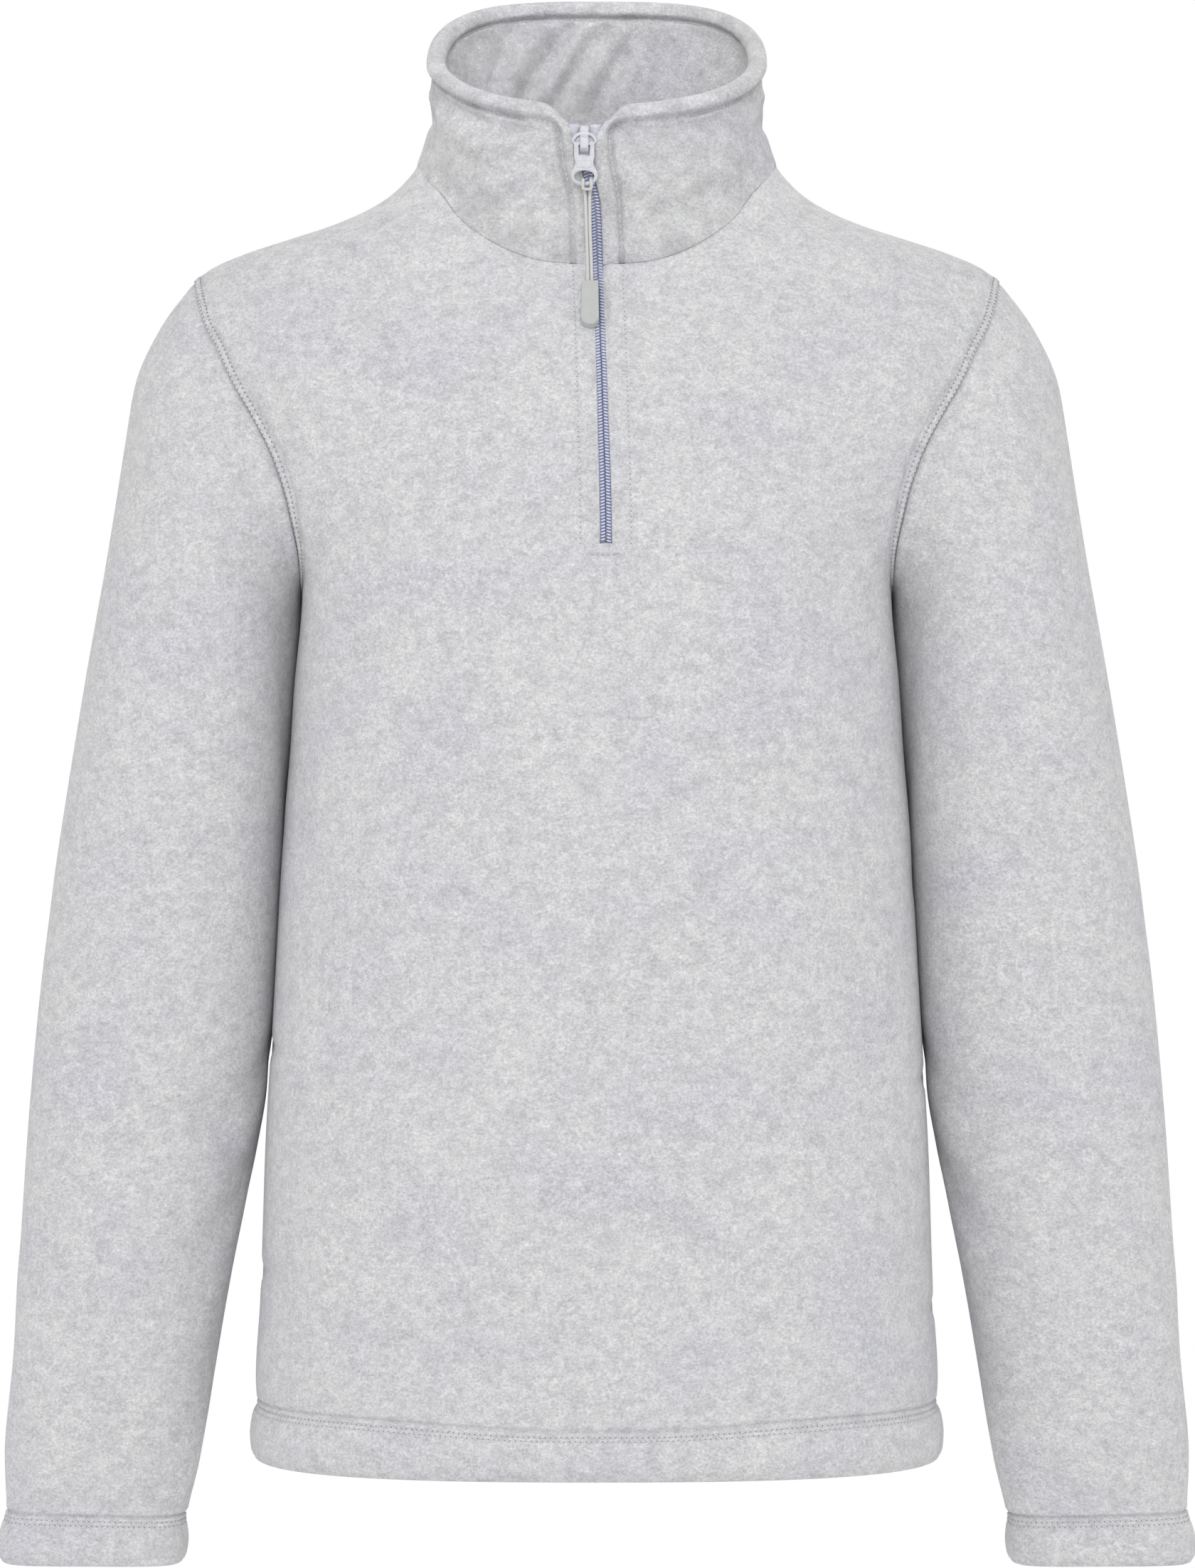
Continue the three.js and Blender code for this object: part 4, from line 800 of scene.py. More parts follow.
def fleece_material(name, tilt, painted_shade_share=1.0, patch_shade_and_relief=0.0):
    """Melange fleece whose streaks run level, tilted about Y by an angle. A shade share below 1 darkens all
    its colour as painted shade, and the patch setting lays soft patches of painted shade and light about 10
    mm wide, with deeper bumps there."""

    def ranged(value, low, high, to_low, to_high):
        return add_node(tree, "ShaderNodeMapRange", values={
            "From Min": low, "From Max": high, "To Min": to_low, "To Max": to_high},
            links={"Value": value}).outputs[0]

    def combined(operation, first, second):
        return add_node(tree, "ShaderNodeMath", {"operation": operation},
                        links={0: first, 1: second}).outputs[0]

    fleece, tree = new_material(name)
    place = add_node(tree, "ShaderNodeTexCoord")
    turned = add_node(tree, "ShaderNodeMapping", values={"Rotation": (0, tilt, 0)},
                      links={"Vector": place.outputs["Object"]})
    streaked = add_node(tree, "ShaderNodeMapping", values={"Scale": (0.78, 0.78, 1.0)},
                        links={"Vector": turned.outputs["Vector"]})
    noise = {}
    for kind, (size, detail, rough) in FLEECE_NOISE.items():
        noise[kind] = add_node(tree, "ShaderNodeTexNoise", {"noise_dimensions": "3D"},
                               {"Scale": 1 / size, "Detail": detail, "Roughness": rough, "Distortion": 0.3},
                               {"Vector": streaked.outputs["Vector"]}).outputs["Fac"]
    cloudy = add_node(tree, "ShaderNodeValToRGB", links={"Fac": noise["cloud"]})
    ramp_between(cloudy, [(0.30, "#C3C3C5"), (0.47, "#CDCDCF"), (0.60, "#D4D4D5"), (0.75, "#D8D8D8")])
    tinted = add_node(tree, "ShaderNodeMix", {"data_type": "RGBA", "blend_type": "MULTIPLY"},
                      links={0: ranged(noise["drift"], 0.45, 0.72, 0.0, 0.5), 6: cloudy.outputs["Color"]})
    tinted.inputs[7].default_value = linear("#EFEFFA")
    # Fibre and clump flecks vary the tone at random; the shade share darkens it all as painted shade.
    shade = combined("MULTIPLY",
                     ranged(noise["fibre"], 0.25, 0.75, 0.74 * painted_shade_share, 1.18 * painted_shade_share),
                     ranged(noise["clump"], 0.25, 0.75, 0.85, 1.11))
    # Soft patches of painted shade and light, laid at random in place of small folds of the nap; the same
    # setting deepens the bumps.
    patch_painted_shade = ranged(noise["patch"], 0.3, 0.7, 1 - 0.09 * patch_shade_and_relief, 1 + 0.07 * patch_shade_and_relief)
    colour = add_node(tree, "ShaderNodeVectorMath", {"operation": "SCALE"},
                      links={0: tinted.outputs[2], "Scale": combined("MULTIPLY", shade, patch_painted_shade)})
    bump = add_node(tree, "ShaderNodeBump",
                    values={"Strength": 0.55, "Distance": 0.0006 + 0.0003 * patch_shade_and_relief},
                    links={"Height": combined("ADD", noise["fibre"], noise["clump"])})
    finish_shader(tree, {"Roughness": 0.95, "Specular IOR Level": 0.15, "Sheen Weight": 0.25,
                         "Sheen Roughness": 0.6},
                  {"Base Color": colour.outputs["Vector"], "Normal": bump.outputs["Normal"]})
    return fleece


body_fleece = fleece_material("brushed_melange_fleece_body", 0.0)


def make_panel(name, node, facing):
    """The front or the back, with the front's slit cut out of it."""
    points, normals = panel_grid(facing)
    rows, columns = points.shape[:2]
    cut = None
    if facing < 0:
        cut = np.zeros((rows - 1, columns - 1), bool)
        left_lip = len(front_shares) - 1
        cut[SLIT_ROW:, left_lip:left_lip + len(STRIP) + 1] = True
    faces = grid_faces(rows, columns, cut)
    faces = faces if facing < 0 else faces[:, ::-1]
    lift, wall = panel_lift(points, facing)
    piece = cloth_piece(name, points.reshape(-1, 3), faces, lift.ravel(), wall.ravel(), body_fleece,
                        normals.reshape(-1, 3))
    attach(piece, "pullover")
    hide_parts(node)
    return piece


front_panel = make_panel("front_panel", "front", -1)
back_panel = make_panel("back_panel", "back", 1)

# ---------------------------------------------------------------- sleeves
# Each sleeve is one piece of the same fleece, sewn into a tube along the underarm, set into the
# armhole, and turned up 27 mm at the cuff under two rows of coverstitch.
CAP_BLEND = 2.2
SEAM_TURN = 2.4
SLEEVE_CLEARANCE = 0.12
SLEEVE_CELL, SLEEVE_COLUMNS = 3.3, 120
SLEEVE_LEAN = 0.16
CUFF_RING, LAST_RING, END_ROUND = 13.85, 15, 5.2
CUFF_ROWS = (2.6, 4.9)
# Rings of the left sleeve: number, outer end across and up, inner end across and up, half depth, how
# far back it hangs, squareness, wall of cloth.
SLEEVE = [
    (0, 209.4, -55.0, 152.2, -214.0, 63, 0, 2.0, 2.6), (1, 226.0, -77.7, 153.0, -222.0, 70, 0, 2.0, 2.6),
    (2, 239.4, -107.3, 153.8, -234.0, 73, 0, 2.0, 2.6), (3, 244.4, -137.0, 155.2, -250.0, 73, 0, 2.1, 2.6),
    (4, 249.0, -167.0, 156.8, -270.0, 72, 0, 2.2, 2.6), (5, 253.9, -198.0, 158.4, -290.0, 70, 0, 2.3, 2.6),
    (6, 264.2, -256.0, 161.2, -330.0, 66, 0, 2.4, 2.6), (7, 274.0, -315.0, 163.8, -370.0, 62, 0, 2.4, 2.6),
    (8, 282.9, -374.0, 166.4, -414.0, 57, -1, 2.4, 2.6),
    (9, 289.6, -433.0, 169.8, -462.0, 52, -3, 2.35, 2.6),
    (10, 294.6, -492.0, 177.6, -512.0, 47, -6, 2.3, 2.6),
    (11, 298.2, -551.0, 188.2, -563.0, 42, -9, 2.3, 2.6),
    (12, 301.8, -610.0, 197.4, -616.0, 36, -11, 2.35, 2.6),
    (13, 306.2, -662.0, 205.4, -665.0, 30, -12, 2.5, 2.6),
    (13.7, 305.4, -687.0, 211.4, -689.4, 26, -12, 2.9, 2.8),
    (14, 306.4, -693.0, 212.6, -695.4, 26, -12, 3.1, 3.6),
    (14.5, 309.4, -706.0, 211.6, -707.4, 27.4, -12, 3.6, 4.6),
    (15, 307.4, -721.5, 213.4, -721.5, 26, -12, 4.0, 4.2),
]
# Folds of a sleeve: the turn round it in degrees from the outer side over the front, the distance
# down from the shoulder, lean, length, width and rise. Most gather inside the elbow.
SLEEVE_FOLDS = [
    (148, 330, 48, 44, 11, -2.3), (138, 362, -34, 40, 10, -1.8), (152, 396, 30, 44, 11, -2.2),
    (122, 378, 62, 34, 9, 1.2), (104, 420, 76, 40, 12, -1.3), (98, 560, 84, 54, 13, -1.0),
    (126, 605, 70, 34, 9, -0.7), (150, 500, 18, 60, 12, -0.9), (160, 110, -16, 60, 12, -1.3),
    (126, 150, 24, 50, 13, -0.9), (60, 250, 60, 60, 18, -0.7), (40, 470, -50, 50, 14, 0.6),
    (214, 345, -44, 48, 11, -1.7), (226, 388, 30, 42, 11, -1.4), (206, 420, -24, 44, 10, -1.5),
    (250, 370, -70, 50, 12, -1.0), (262, 520, 80, 56, 14, -0.9), (236, 600, -72, 40, 10, -0.8),
    (204, 130, 20, 60, 13, -1.2), (290, 240, -58, 56, 16, -0.8), (124, 13, 88, 42, 7, -2.0),
    (98, 22, 84, 26, 6, 0.9), (238, 14, 92, 44, 8, -1.6), (120, 640, 80, 44, 12, -1.4),
]

(outer_x, outer_z, inner_x, inner_z, half_depth, sleeve_back, sleeve_square,
 sleeve_wall) = table(SLEEVE)


def armhole_shift(turn):
    """From the first ring's plain oval to the real armhole edge of the body."""
    share = (1 - np.cos(turn)) / 2
    height = lerp(SHOULDER_TIP, ARMPIT, share)
    edge = np.where((np.sin(turn) > 1e-9)[..., None], armhole_edge(height, -1), armhole_edge(height, 1))
    edge = edge + (SLEEVE_CLEARANCE, 0, 0)
    plain = np.stack([lerp(outer_x(0), inner_x(0), share), -np.sin(turn) * half_depth(0),
                      lerp(outer_z(0), inner_z(0), share)], -1)
    return edge - plain


def sleeve_point(ring, turn):
    """A point on the left sleeve. `turn` goes round from the outer end over the front."""
    radius = oval(np.pi / 2 - turn, 1, 1, sleeve_square(ring))
    along = radius * np.cos(turn)
    point = np.stack([
        (outer_x(ring) + inner_x(ring)) / 2 + (outer_x(ring) - inner_x(ring)) / 2 * along,
        sleeve_back(ring) - radius * np.sin(turn) * half_depth(ring),
        (outer_z(ring) + inner_z(ring)) / 2 + (outer_z(ring) - inner_z(ring)) / 2 * along,
    ], axis=-1)
    fade = 1 - smooth_share(ring, 0, CAP_BLEND)
    return point + armhole_shift(turn) * fade[..., None]


# Rings of points lie evenly down the sleeve, and closer at its seam, its stitching and its end.
ring_fine = np.linspace(0, LAST_RING, 601)
sleeve_line = np.stack([(outer_x(ring_fine) + inner_x(ring_fine)) / 2,
                        (outer_z(ring_fine) + inner_z(ring_fine)) / 2], -1)
ring_mm = run_along(sleeve_line)
CUFF_DITCH = float(np.interp(CUFF_RING, ring_fine, ring_mm))
SLEEVE_END = float(ring_mm[-1]) - END_ROUND
sleeve_places = spacing(0, SLEEVE_END, SLEEVE_CELL, [
    (0, 0.8, 4), (CUFF_DITCH + 2.2, 0.5, 4), (SLEEVE_END, 0.8, 3)])
sleeve_places = np.concatenate([[-SEAM_TURN], sleeve_places])
sleeve_rings = np.interp(sleeve_places, ring_mm, ring_fine)
sleeve_turns = 2 * np.pi * np.arange(SLEEVE_COLUMNS) / SLEEVE_COLUMNS


def sleeve_grid():
    """Points of the left sleeve, ring by ring. The first ring is turned in under the body's edge."""
    points = sleeve_point(sleeve_rings[:, None], sleeve_turns[None, :])
    points[0, :, 0] -= SEAM_TURN
    return points


def sleeve_lift(points):
    """How far folds, seams and stitching raise or lower a sleeve."""
    place = sleeve_places[:, None]
    girth = np.linalg.norm(points - np.roll(points, 1, axis=1), axis=2).sum(axis=1)[:, None]
    lift = np.zeros(points.shape[:2])
    for turn, down, lean, length, width, rise in SLEEVE_FOLDS:
        round_it = (np.degrees(sleeve_turns)[None, :] - turn) / 360 * girth
        lift = lift + fold_rise([(0, 0, lean, length, width, rise)], round_it, down - place)
    from_seam = np.abs(sleeve_turns - np.pi)[None, :] / (2 * np.pi) * girth
    lift = lift * smooth_share(place, 0, 12) + groove(from_seam, 0.6, 1.3) + groove(place, 0.6, 0.9)
    lift = lift + groove(place - CUFF_DITCH, 2.3, 0.8)
    for below in CUFF_ROWS:
        lift = lift + groove(place - CUFF_DITCH - below, 0.8, 0.6)
    return lift + groove(place - SLEEVE_END, 1.2, 1.6) - SEAM_TURN * (place < 0)


def make_sleeve(name, node, side):
    """The left sleeve, or with `side` -1 its mirror image."""
    points = sleeve_grid()
    lift = sleeve_lift(points)
    rows, columns = points.shape[:2]
    wall = sleeve_wall(sleeve_rings) * lerp(0.5, 1.0, smooth_share(sleeve_places, 0, 4))
    faces = grid_faces(rows, columns, closed=True)
    points = points * np.array([side, 1, 1])
    faces = faces if side > 0 else faces[:, ::-1]
    fleece = fleece_material(f"brushed_melange_fleece_{name}", -side * SLEEVE_LEAN)
    piece = cloth_piece(name, points.reshape(-1, 3), faces, lift.ravel(),
                        np.repeat(wall, columns), fleece)
    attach(piece, "pullover")
    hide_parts(node)
    return piece


left_sleeve = make_sleeve("left_sleeve", "sleeve_left", 1)
right_sleeve = make_sleeve("right_sleeve", "sleeve_right", -1)

# ---------------------------------------------------------------- collar
# A stand collar of doubled fleece, folded over at its top edge. A row of topstitching 10 mm in from
# the top and from the zip's edges holds the fold and the tape, and leaves a plump roll at the rim.
RIM_HALF_WIDTH, RIM_HALF_DEPTH, RIM_FORWARD = 85.8, 71.0, -6.0
RIM_HEIGHT, RIM_FALL = 64.6, 36.6
RIM_SQUARE_FRONT, RIM_SQUARE_BACK = 2.1, 2.9
COLLAR_WAIST, COLLAR_WALL = -4.8, 4.0
CORNER_DROP, CORNER_REACH = 0.1, 6.5
ROLL_RADIUS, ROLL_CENTRE = 4.7, -2.7
RIM_BAND, RIM_ZONE, TOPSTITCH_TURN = 9.6, 17.0, 0.45
COLLAR_RUN, COLLAR_STAND, DEGREES, MEAN_RADIUS = 500, 70, 57.3, 78
# Creases of the collar: the angle round it in degrees from centre front, the height above its seam,
# lean, length, width and rise. The first list is outside and the second inside.
OUTER_CREASES = [
    (-84, 24, 78, 17, 4, -2.0), (-94, 34, 84, 16, 4, 1.5), (-64, 51, 62, 24, 6, -2.8),
    (-46, 26, 70, 26, 9, 2.6), (-40, 61, 70, 22, 5, -2.8), (-20, 64, 76, 18, 4.6, -3.0),
    (-29, 54, 72, 24, 6.5, 2.6), (-60, 38, 62, 24, 7, 2.2), (84, 22, -76, 17, 4, -1.9),
    (92, 36, -82, 18, 4, 1.5), (66, 50, -60, 24, 6, -2.6), (44, 30, -68, 26, 9, 2.8),
    (26, 66, -76, 27, 4.2, -3.8), (25, 57, -68, 24, 6, 3.0), (32, 22, -78, 24, 8, -2.4),
    (48, 56, -60, 20, 5, -2.8), (140, 40, 70, 26, 8, -1.8), (-150, 46, -74, 26, 8, -1.8),
    (176, 30, 86, 34, 8, 1.5), (-15, 30, 84, 18, 6, -1.8), (-54, 12, 64, 22, 7, -2.2),
    (56, 14, -58, 24, 7, -2.2), (-26, 12, 82, 28, 7, 1.8), (24, 9, -84, 28, 6, 1.8),
]
INNER_CREASES = [
    (-158, 56, -38, 34, 5.4, -3.4), (-166, 58, -38, 38, 6.0, 4.4), (-173.5, 54, -36, 34, 6.0, -3.8),
    (178, 58, -34, 34, 6.4, 3.8), (171, 50, -34, 32, 6.0, -3.4), (-151, 62, -34, 28, 6.0, 3.6),
    (-139, 58, -26, 26, 5.4, -3.3), (-145, 62, -28, 24, 5.4, 2.6), (-124, 46, -20, 24, 6.4, -2.4),
    (160, 64, -30, 26, 6.6, 2.6), (142, 50, 34, 28, 6.6, -3.2), (128, 54, 28, 26, 6.4, -2.2),
    (110, 38, 20, 24, 6.4, -2.0), (152, 40, 30, 24, 6.6, 2.8), (-112, 54, 16, 24, 6.4, 2.0),
]


def neck_point(angle):
    """A point on the neck seam. Angles go round the collar from centre front."""
    height = neck_height(np.degrees(np.abs(angle)))
    front = body_point(angle, height, -1)
    back = body_point(np.sign(angle) * (np.pi - np.abs(angle)), height, 1)
    return np.where((np.cos(angle) >= 0)[..., None], front, back)


def rim_point(angle):
    """A point on the collar's rim."""
    square = np.where(np.cos(angle) >= 0, RIM_SQUARE_FRONT, RIM_SQUARE_BACK)
    radius = oval(angle, RIM_HALF_WIDTH, RIM_HALF_DEPTH, square)
    forward = radius * np.cos(angle) / RIM_HALF_DEPTH
    return np.stack([radius * np.sin(angle), RIM_FORWARD - RIM_HALF_DEPTH * forward,
                     RIM_HEIGHT - RIM_FALL * forward], -1)


def collar_point(angle, up):
    """A point on the collar's outer side. `up` is its share of the way from seam to rim."""
    angle, up = np.broadcast_arrays(np.asarray(angle, float), np.asarray(up, float))
    point = lerp(neck_point(angle), rim_point(angle), up[..., None])
    waist = COLLAR_WAIST * np.sin(angle) ** 2 * np.sin(np.pi * up) * (1 - 0.5 * up)
    point[..., 0] += waist * np.sign(angle)
    return point


def collar_normal(angle, up):
    """The outward direction of the collar's side."""
    round_it = collar_point(angle + 1e-3, up) - collar_point(angle - 1e-3, up)
    upward = collar_point(angle, up + 1e-3) - collar_point(angle, up - 1e-3)
    normal = np.cross(round_it, upward)
    normal /= np.linalg.norm(normal, axis=-1)[..., None]
    outward = np.stack([np.sin(angle), -np.cos(angle)], -1)
    facing = (normal[..., :2] * outward).sum(-1)
    return normal * np.where(facing < 0, -1, 1)[..., None]


def collar_angle(across, up):
    """The angle at which the collar's front has the given distance from the middle."""
    return np.arcsin(across / lerp(depth_front(neck_height(0)), RIM_HALF_DEPTH, up))


def lip_angle(up, side):
    """The angle of the collar's edge beside the zip."""
    z = collar_point(np.zeros_like(up), up)[..., 2]
    return collar_angle(zip_across(z) + side * zip_lip(z), up)


def wrapped(angle):
    """An angle between minus and plus half a turn."""
    return np.where(angle > np.pi, angle - 2 * np.pi, angle)


def collar_height(angle):
    """The collar's height along its slope, at each angle round it."""
    return np.linalg.norm(rim_point(angle) - neck_point(angle), axis=-1)


# Rows of points: shares of the part under the rim's band, then distances down from the rim.
low_shares = spacing(0, COLLAR_STAND, 2.6, [(0, 0.7, 4), (COLLAR_STAND, 1.2, 4)])[:-1] / COLLAR_STAND
band_distances = spacing(ROLL_RADIUS, RIM_ZONE, 1.3, [(RIM_BAND, 0.45, 2.5)])[:0:-1]
roll_turns = np.radians(np.arange(0, 91, 9))
roll_distances = ROLL_RADIUS * (1 - np.sin(roll_turns))
roll_share = np.concatenate([np.ones(len(low_shares) + len(band_distances)), np.cos(roll_turns)])
collar_shares = spacing(0, COLLAR_RUN, 2.8, [
    (0, 0.8, 4), (PLACKET - 3, 0.6, 4), (COLLAR_RUN + 3 - PLACKET, 0.6, 4),
    (COLLAR_RUN, 0.8, 4)]) / COLLAR_RUN


def crease_rise(creases, round_it, above):
    """How far a list of creases raises the collar, at degrees round it and at a height above its seam."""
    rise = np.zeros_like(round_it)
    for turn, high, lean, length, width, lift in creases:
        beside = (round_it - turn + 180) % 360 - 180
        rise += fold_rise([(0, high, lean, length, width, lift)], beside / DEGREES * MEAN_RADIUS, above)
    return rise


def collar_skins():
    """Outer and inner side of the collar, as two grids from the neck seam up to the rim, and the
    distances of their points from the rim and from the zip's edges."""
    rough = wrapped(2 * np.pi * collar_shares)
    height = collar_height(rough)[None, :]
    ups = np.concatenate([low_shares[:, None] * (1 - RIM_ZONE / height),
                          1 - band_distances[:, None] / height, 1 - roll_distances[:, None] / height])
    lip_ups = ups[:, :1] * (1 - CORNER_DROP)
    start = lip_angle(lip_ups, 1)
    end = 2 * np.pi + lip_angle(lip_ups, -1)
    angle = lerp(start, end, collar_shares[None, :])
    from_lip = np.minimum(angle - start, end - angle) * RIM_HALF_DEPTH
    corner = np.exp(-(from_lip / CORNER_REACH) ** 2)
    up = ups * (1 - CORNER_DROP * corner)
    angle = wrapped(angle)
    base, normal = collar_point(angle, up), collar_normal(angle, up)
    from_rim = (1 - ups) * height
    round_it = np.degrees(angle)
    plump = smooth_share(from_lip, -2, 9)
    share = roll_share[:, None]
    # The topstitched line keeps its distance from both edges and turns the corner between them.
    nearest = -np.logaddexp(-(from_rim - RIM_BAND) * TOPSTITCH_TURN,
                            -(from_lip + zip_lip(0) - PLACKET) * TOPSTITCH_TURN) / TOPSTITCH_TURN
    swell = smooth_share(-nearest, 0, 3.5) * smooth_share(RIM_BAND + 14 - from_rim, 0, 10)
    uneven = 1 + 0.22 * np.sin(round_it / 7.3 + 1.1) + 0.18 * np.sin(round_it / 3.1)
    outer = lerp(0.2, 2.1 * plump + 0.5, swell) + groove(nearest, 3.0, 1.6) * uneven
    inner = lerp(-COLLAR_WALL - 0.4, -COLLAR_WALL - 3.3 * plump, smooth_share(RIM_BAND - from_rim, 0, 2.5))
    inner += groove(from_rim - RIM_BAND, -1.6, 0.9) * plump
    middle = lerp(-COLLAR_WALL / 2, ROLL_CENTRE, plump)
    outer = lerp(middle, outer, share)
    inner = lerp(middle, inner, share)
    fade = smooth_share(from_rim, RIM_BAND, RIM_BAND + 6)
    outer = outer + crease_rise(OUTER_CREASES, round_it, up * height) * fade
    inner = inner - crease_rise(INNER_CREASES, round_it, up * height) * fade
    seam = ups * height
    outer = outer + groove(seam, 0.25, 0.8)
    inner = inner - groove(seam, 0.8, 1.5)
    lip_round = groove(from_lip, 1.0, 1.6)
    return (base + normal * (outer + lip_round)[..., None],
            base + normal * (inner - lip_round * 0.5)[..., None], from_rim, from_lip)


def make_collar():
    """The collar's two sides, joined along the rim and closed along the seam and the zip's edges."""
    outer, inner = collar_skins()[:2]
    rows, columns = outer.shape[:2]
    faces = grid_faces(rows, columns)
    count = rows * columns
    points = np.concatenate([outer.reshape(-1, 3), inner.reshape(-1, 3)])
    rim = open_edges(faces, count)
    rim = rim[~((rim // columns) == rows - 1).all(axis=1)]
    a, b = rim[:, 0], rim[:, 1]
    walls = np.stack([b, a, a + count, b + count], -1)
    every = np.concatenate([faces, faces[:, ::-1] + count, walls])
    top = np.arange(columns) + (rows - 1) * columns
    place = np.arange(2 * count)
    place[top + count] = top
    every = place[every]
    used, number = np.unique(every, return_inverse=True)
    # The collar's fleece is a darker copy of the body's: its colour is lowered as painted shade, with
    # patches of painted shade and light.
    piece = new_mesh("stand_collar", points[used] * MM, number.reshape(every.shape),
                     fleece_material("collar_fleece_painted_shade", 0.0, 0.92, 1.2))
    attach(piece, "pullover")
    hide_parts("collar")
    return piece


collar = make_collar()

# ---------------------------------------------------------------- zip
# A coil zip: a nylon coil, 5.5 mm wide, woven onto two polyester tapes that are sewn behind the fleece.
# Closed up to the slider, its two sides turn outwards above it and end in folded, sealed tips.
COIL_PITCH = 1.575
COIL_DEPTH, COIL_DEPTH_COLLAR = 1.55, 2.2
TOOTH = (1.36, 0.46, 0.75)
TOOTH_OFFSET = 1.42
TOOTH_TILT = 16.0
CHAIN_BOTTOM, CHAIN_TOP = -194.6, 15.5
TAPE_WIDTH, TAPE_THICKNESS = 11.0, 0.6
TAPE_BEHIND_BODY, TAPE_BEHIND_COLLAR = 3.3, 5.6
TAPE_TOP = 17.0
TIP_FOOT, TIP_HEAD = (3.9, 1.5, 11.0), (2.2, 6.4, 17.6)
SLIDER_HEIGHT = 7.6
WEAVE_THREAD = 0.0005
HALF_SIZES = ("Half Length", "Half Height", "Half Depth")


def front_skin(across, height):
    """The outer side of the cloth at the front, on the panel or on the collar above it."""
    across, height = np.broadcast_arrays(np.asarray(across, float), np.asarray(height, float))
    low, high = neck_height(0), RIM_HEIGHT - RIM_FALL
    panel_point = body_point(np.arctan2(across, depth_front(height)), height, -1)
    up = np.maximum((height - low) / (high - low), 0)
    stand_point = collar_point(collar_angle(across, up), up)
    return np.where((height < low)[..., None], panel_point, stand_point)


def loft(name, rings, material):
    """A closed solid through a run of closed rings."""
    count, size = rings.shape[:2]
    faces = grid_faces(count, size, closed=True).tolist()
    faces += [list(range(size))[::-1], [(count - 1) * size + k for k in range(size)]]
    return new_mesh(name, rings.reshape(-1, 3) * MM, faces, material)


def chain_spread(height):
    """How far each half of the chain stands from the zip's line: closed below the slider."""
    open_share = smooth_share(height, SLIDER_HEIGHT - 4, SLIDER_HEIGHT + 6)
    return np.maximum((zip_lip(height) - 2.9) * open_share, 0.1)


def coil_depth(height):
    """How far the chain lies behind the outer side of the cloth."""
    return lerp(COIL_DEPTH, COIL_DEPTH_COLLAR, smooth_share(height, -60, -45))


def shape_at_points(name, points, along, out, tree, inputs):
    """Sets the shape that a node tree builds at each point, turned to `along` and `out`."""
    mesh = bpy.data.meshes.new(name)
    mesh.from_pydata((np.asarray(points) * MM).tolist(), [], [])
    for label, values in (("along", along), ("out", out)):
        layer = mesh.attributes.new(label, "FLOAT_VECTOR", "POINT")
        layer.data.foreach_set("vector", np.asarray(values, float).ravel())
    seeds = bpy.data.objects.new(name + "_seeds", mesh)
    bpy.context.scene.collection.objects.link(seeds)
    modifier = seeds.modifiers.new("shapes", "NODES")
    modifier.node_group = tree
    for item in tree.interface.items_tree:
        if item.name in inputs:
            modifier[item.identifier] = inputs[item.name]
    return finished(seeds, name)


def shape_tree(name, sockets):
    """A node tree with a geometry input and the named number inputs, for a shape set at points."""
    tree = bpy.data.node_groups.new(name, "GeometryNodeTree")
    tree.interface.new_socket("Points", in_out="INPUT", socket_type="NodeSocketGeometry")
    for label in sockets:
        tree.interface.new_socket(label, in_out="INPUT", socket_type="NodeSocketFloat")
    tree.interface.new_socket("Shapes", in_out="OUTPUT", socket_type="NodeSocketGeometry")
    return tree, add_node(tree, "NodeGroupInput")


def finish_tree(tree, start, shape, material):
    """Ends a tree: one shape at each point, turned, made real and given its material."""
    along = add_node(tree, "GeometryNodeInputNamedAttribute", {"data_type": "FLOAT_VECTOR"},
                     {"Name": "along"})
    out = add_node(tree, "GeometryNodeInputNamedAttribute", {"data_type": "FLOAT_VECTOR"},
                   {"Name": "out"})
    turn = add_node(tree, "FunctionNodeAxesToRotation", {"primary_axis": "Z", "secondary_axis": "X"},
                    links={0: out.outputs["Attribute"], 1: along.outputs["Attribute"]})
    placed = add_node(tree, "GeometryNodeInstanceOnPoints", links={
        "Points": start.outputs["Points"], "Instance": shape, "Rotation": turn.outputs[0]})
    real = add_node(tree, "GeometryNodeRealizeInstances", links={"Geometry": placed.outputs["Instances"]})
    smooth = add_node(tree, "GeometryNodeSetShadeSmooth", links={"Geometry": real.outputs["Geometry"]})
    painted = add_node(tree, "GeometryNodeSetMaterial", links={"Geometry": smooth.outputs["Geometry"]})
    painted.inputs["Material"].default_value = material
    add_node(tree, "NodeGroupOutput", links={"Shapes": painted.outputs["Geometry"]})


# Woven polyester tape: a fine plain weave with 0.5 mm threads, lavender-grey, with a slight shine.
weave, weave_tree = new_material("woven_polyester_tape")
weave_place = add_node(weave_tree, "ShaderNodeTexCoord")
weave_lines = [add_node(weave_tree, "ShaderNodeTexWave", {"bands_direction": direction},
                        {"Scale": WAVE_PERIOD / WEAVE_THREAD, "Distortion": 0.4},
                        {"Vector": weave_place.outputs["Object"]}) for direction in ("X", "Z")]
weave_height = add_node(weave_tree, "ShaderNodeMath", {"operation": "MULTIPLY"},
                        links={0: weave_lines[0].outputs["Fac"], 1: weave_lines[1].outputs["Fac"]})
weave_colour = add_node(weave_tree, "ShaderNodeValToRGB", links={"Fac": weave_height.outputs[0]})
ramp_between(weave_colour, [(0.0, "#8C91AE"), (0.6, "#A9ADC5")])
weave_bump = add_node(weave_tree, "ShaderNodeBump", values={"Strength": 0.4, "Distance": 0.0001},
                      links={"Height": weave_height.outputs[0]})
finish_shader(weave_tree, {"Roughness": 0.7, "Specular IOR Level": 0.3},
              {"Base Color": weave_colour.outputs["Color"], "Normal": weave_bump.outputs["Normal"]})

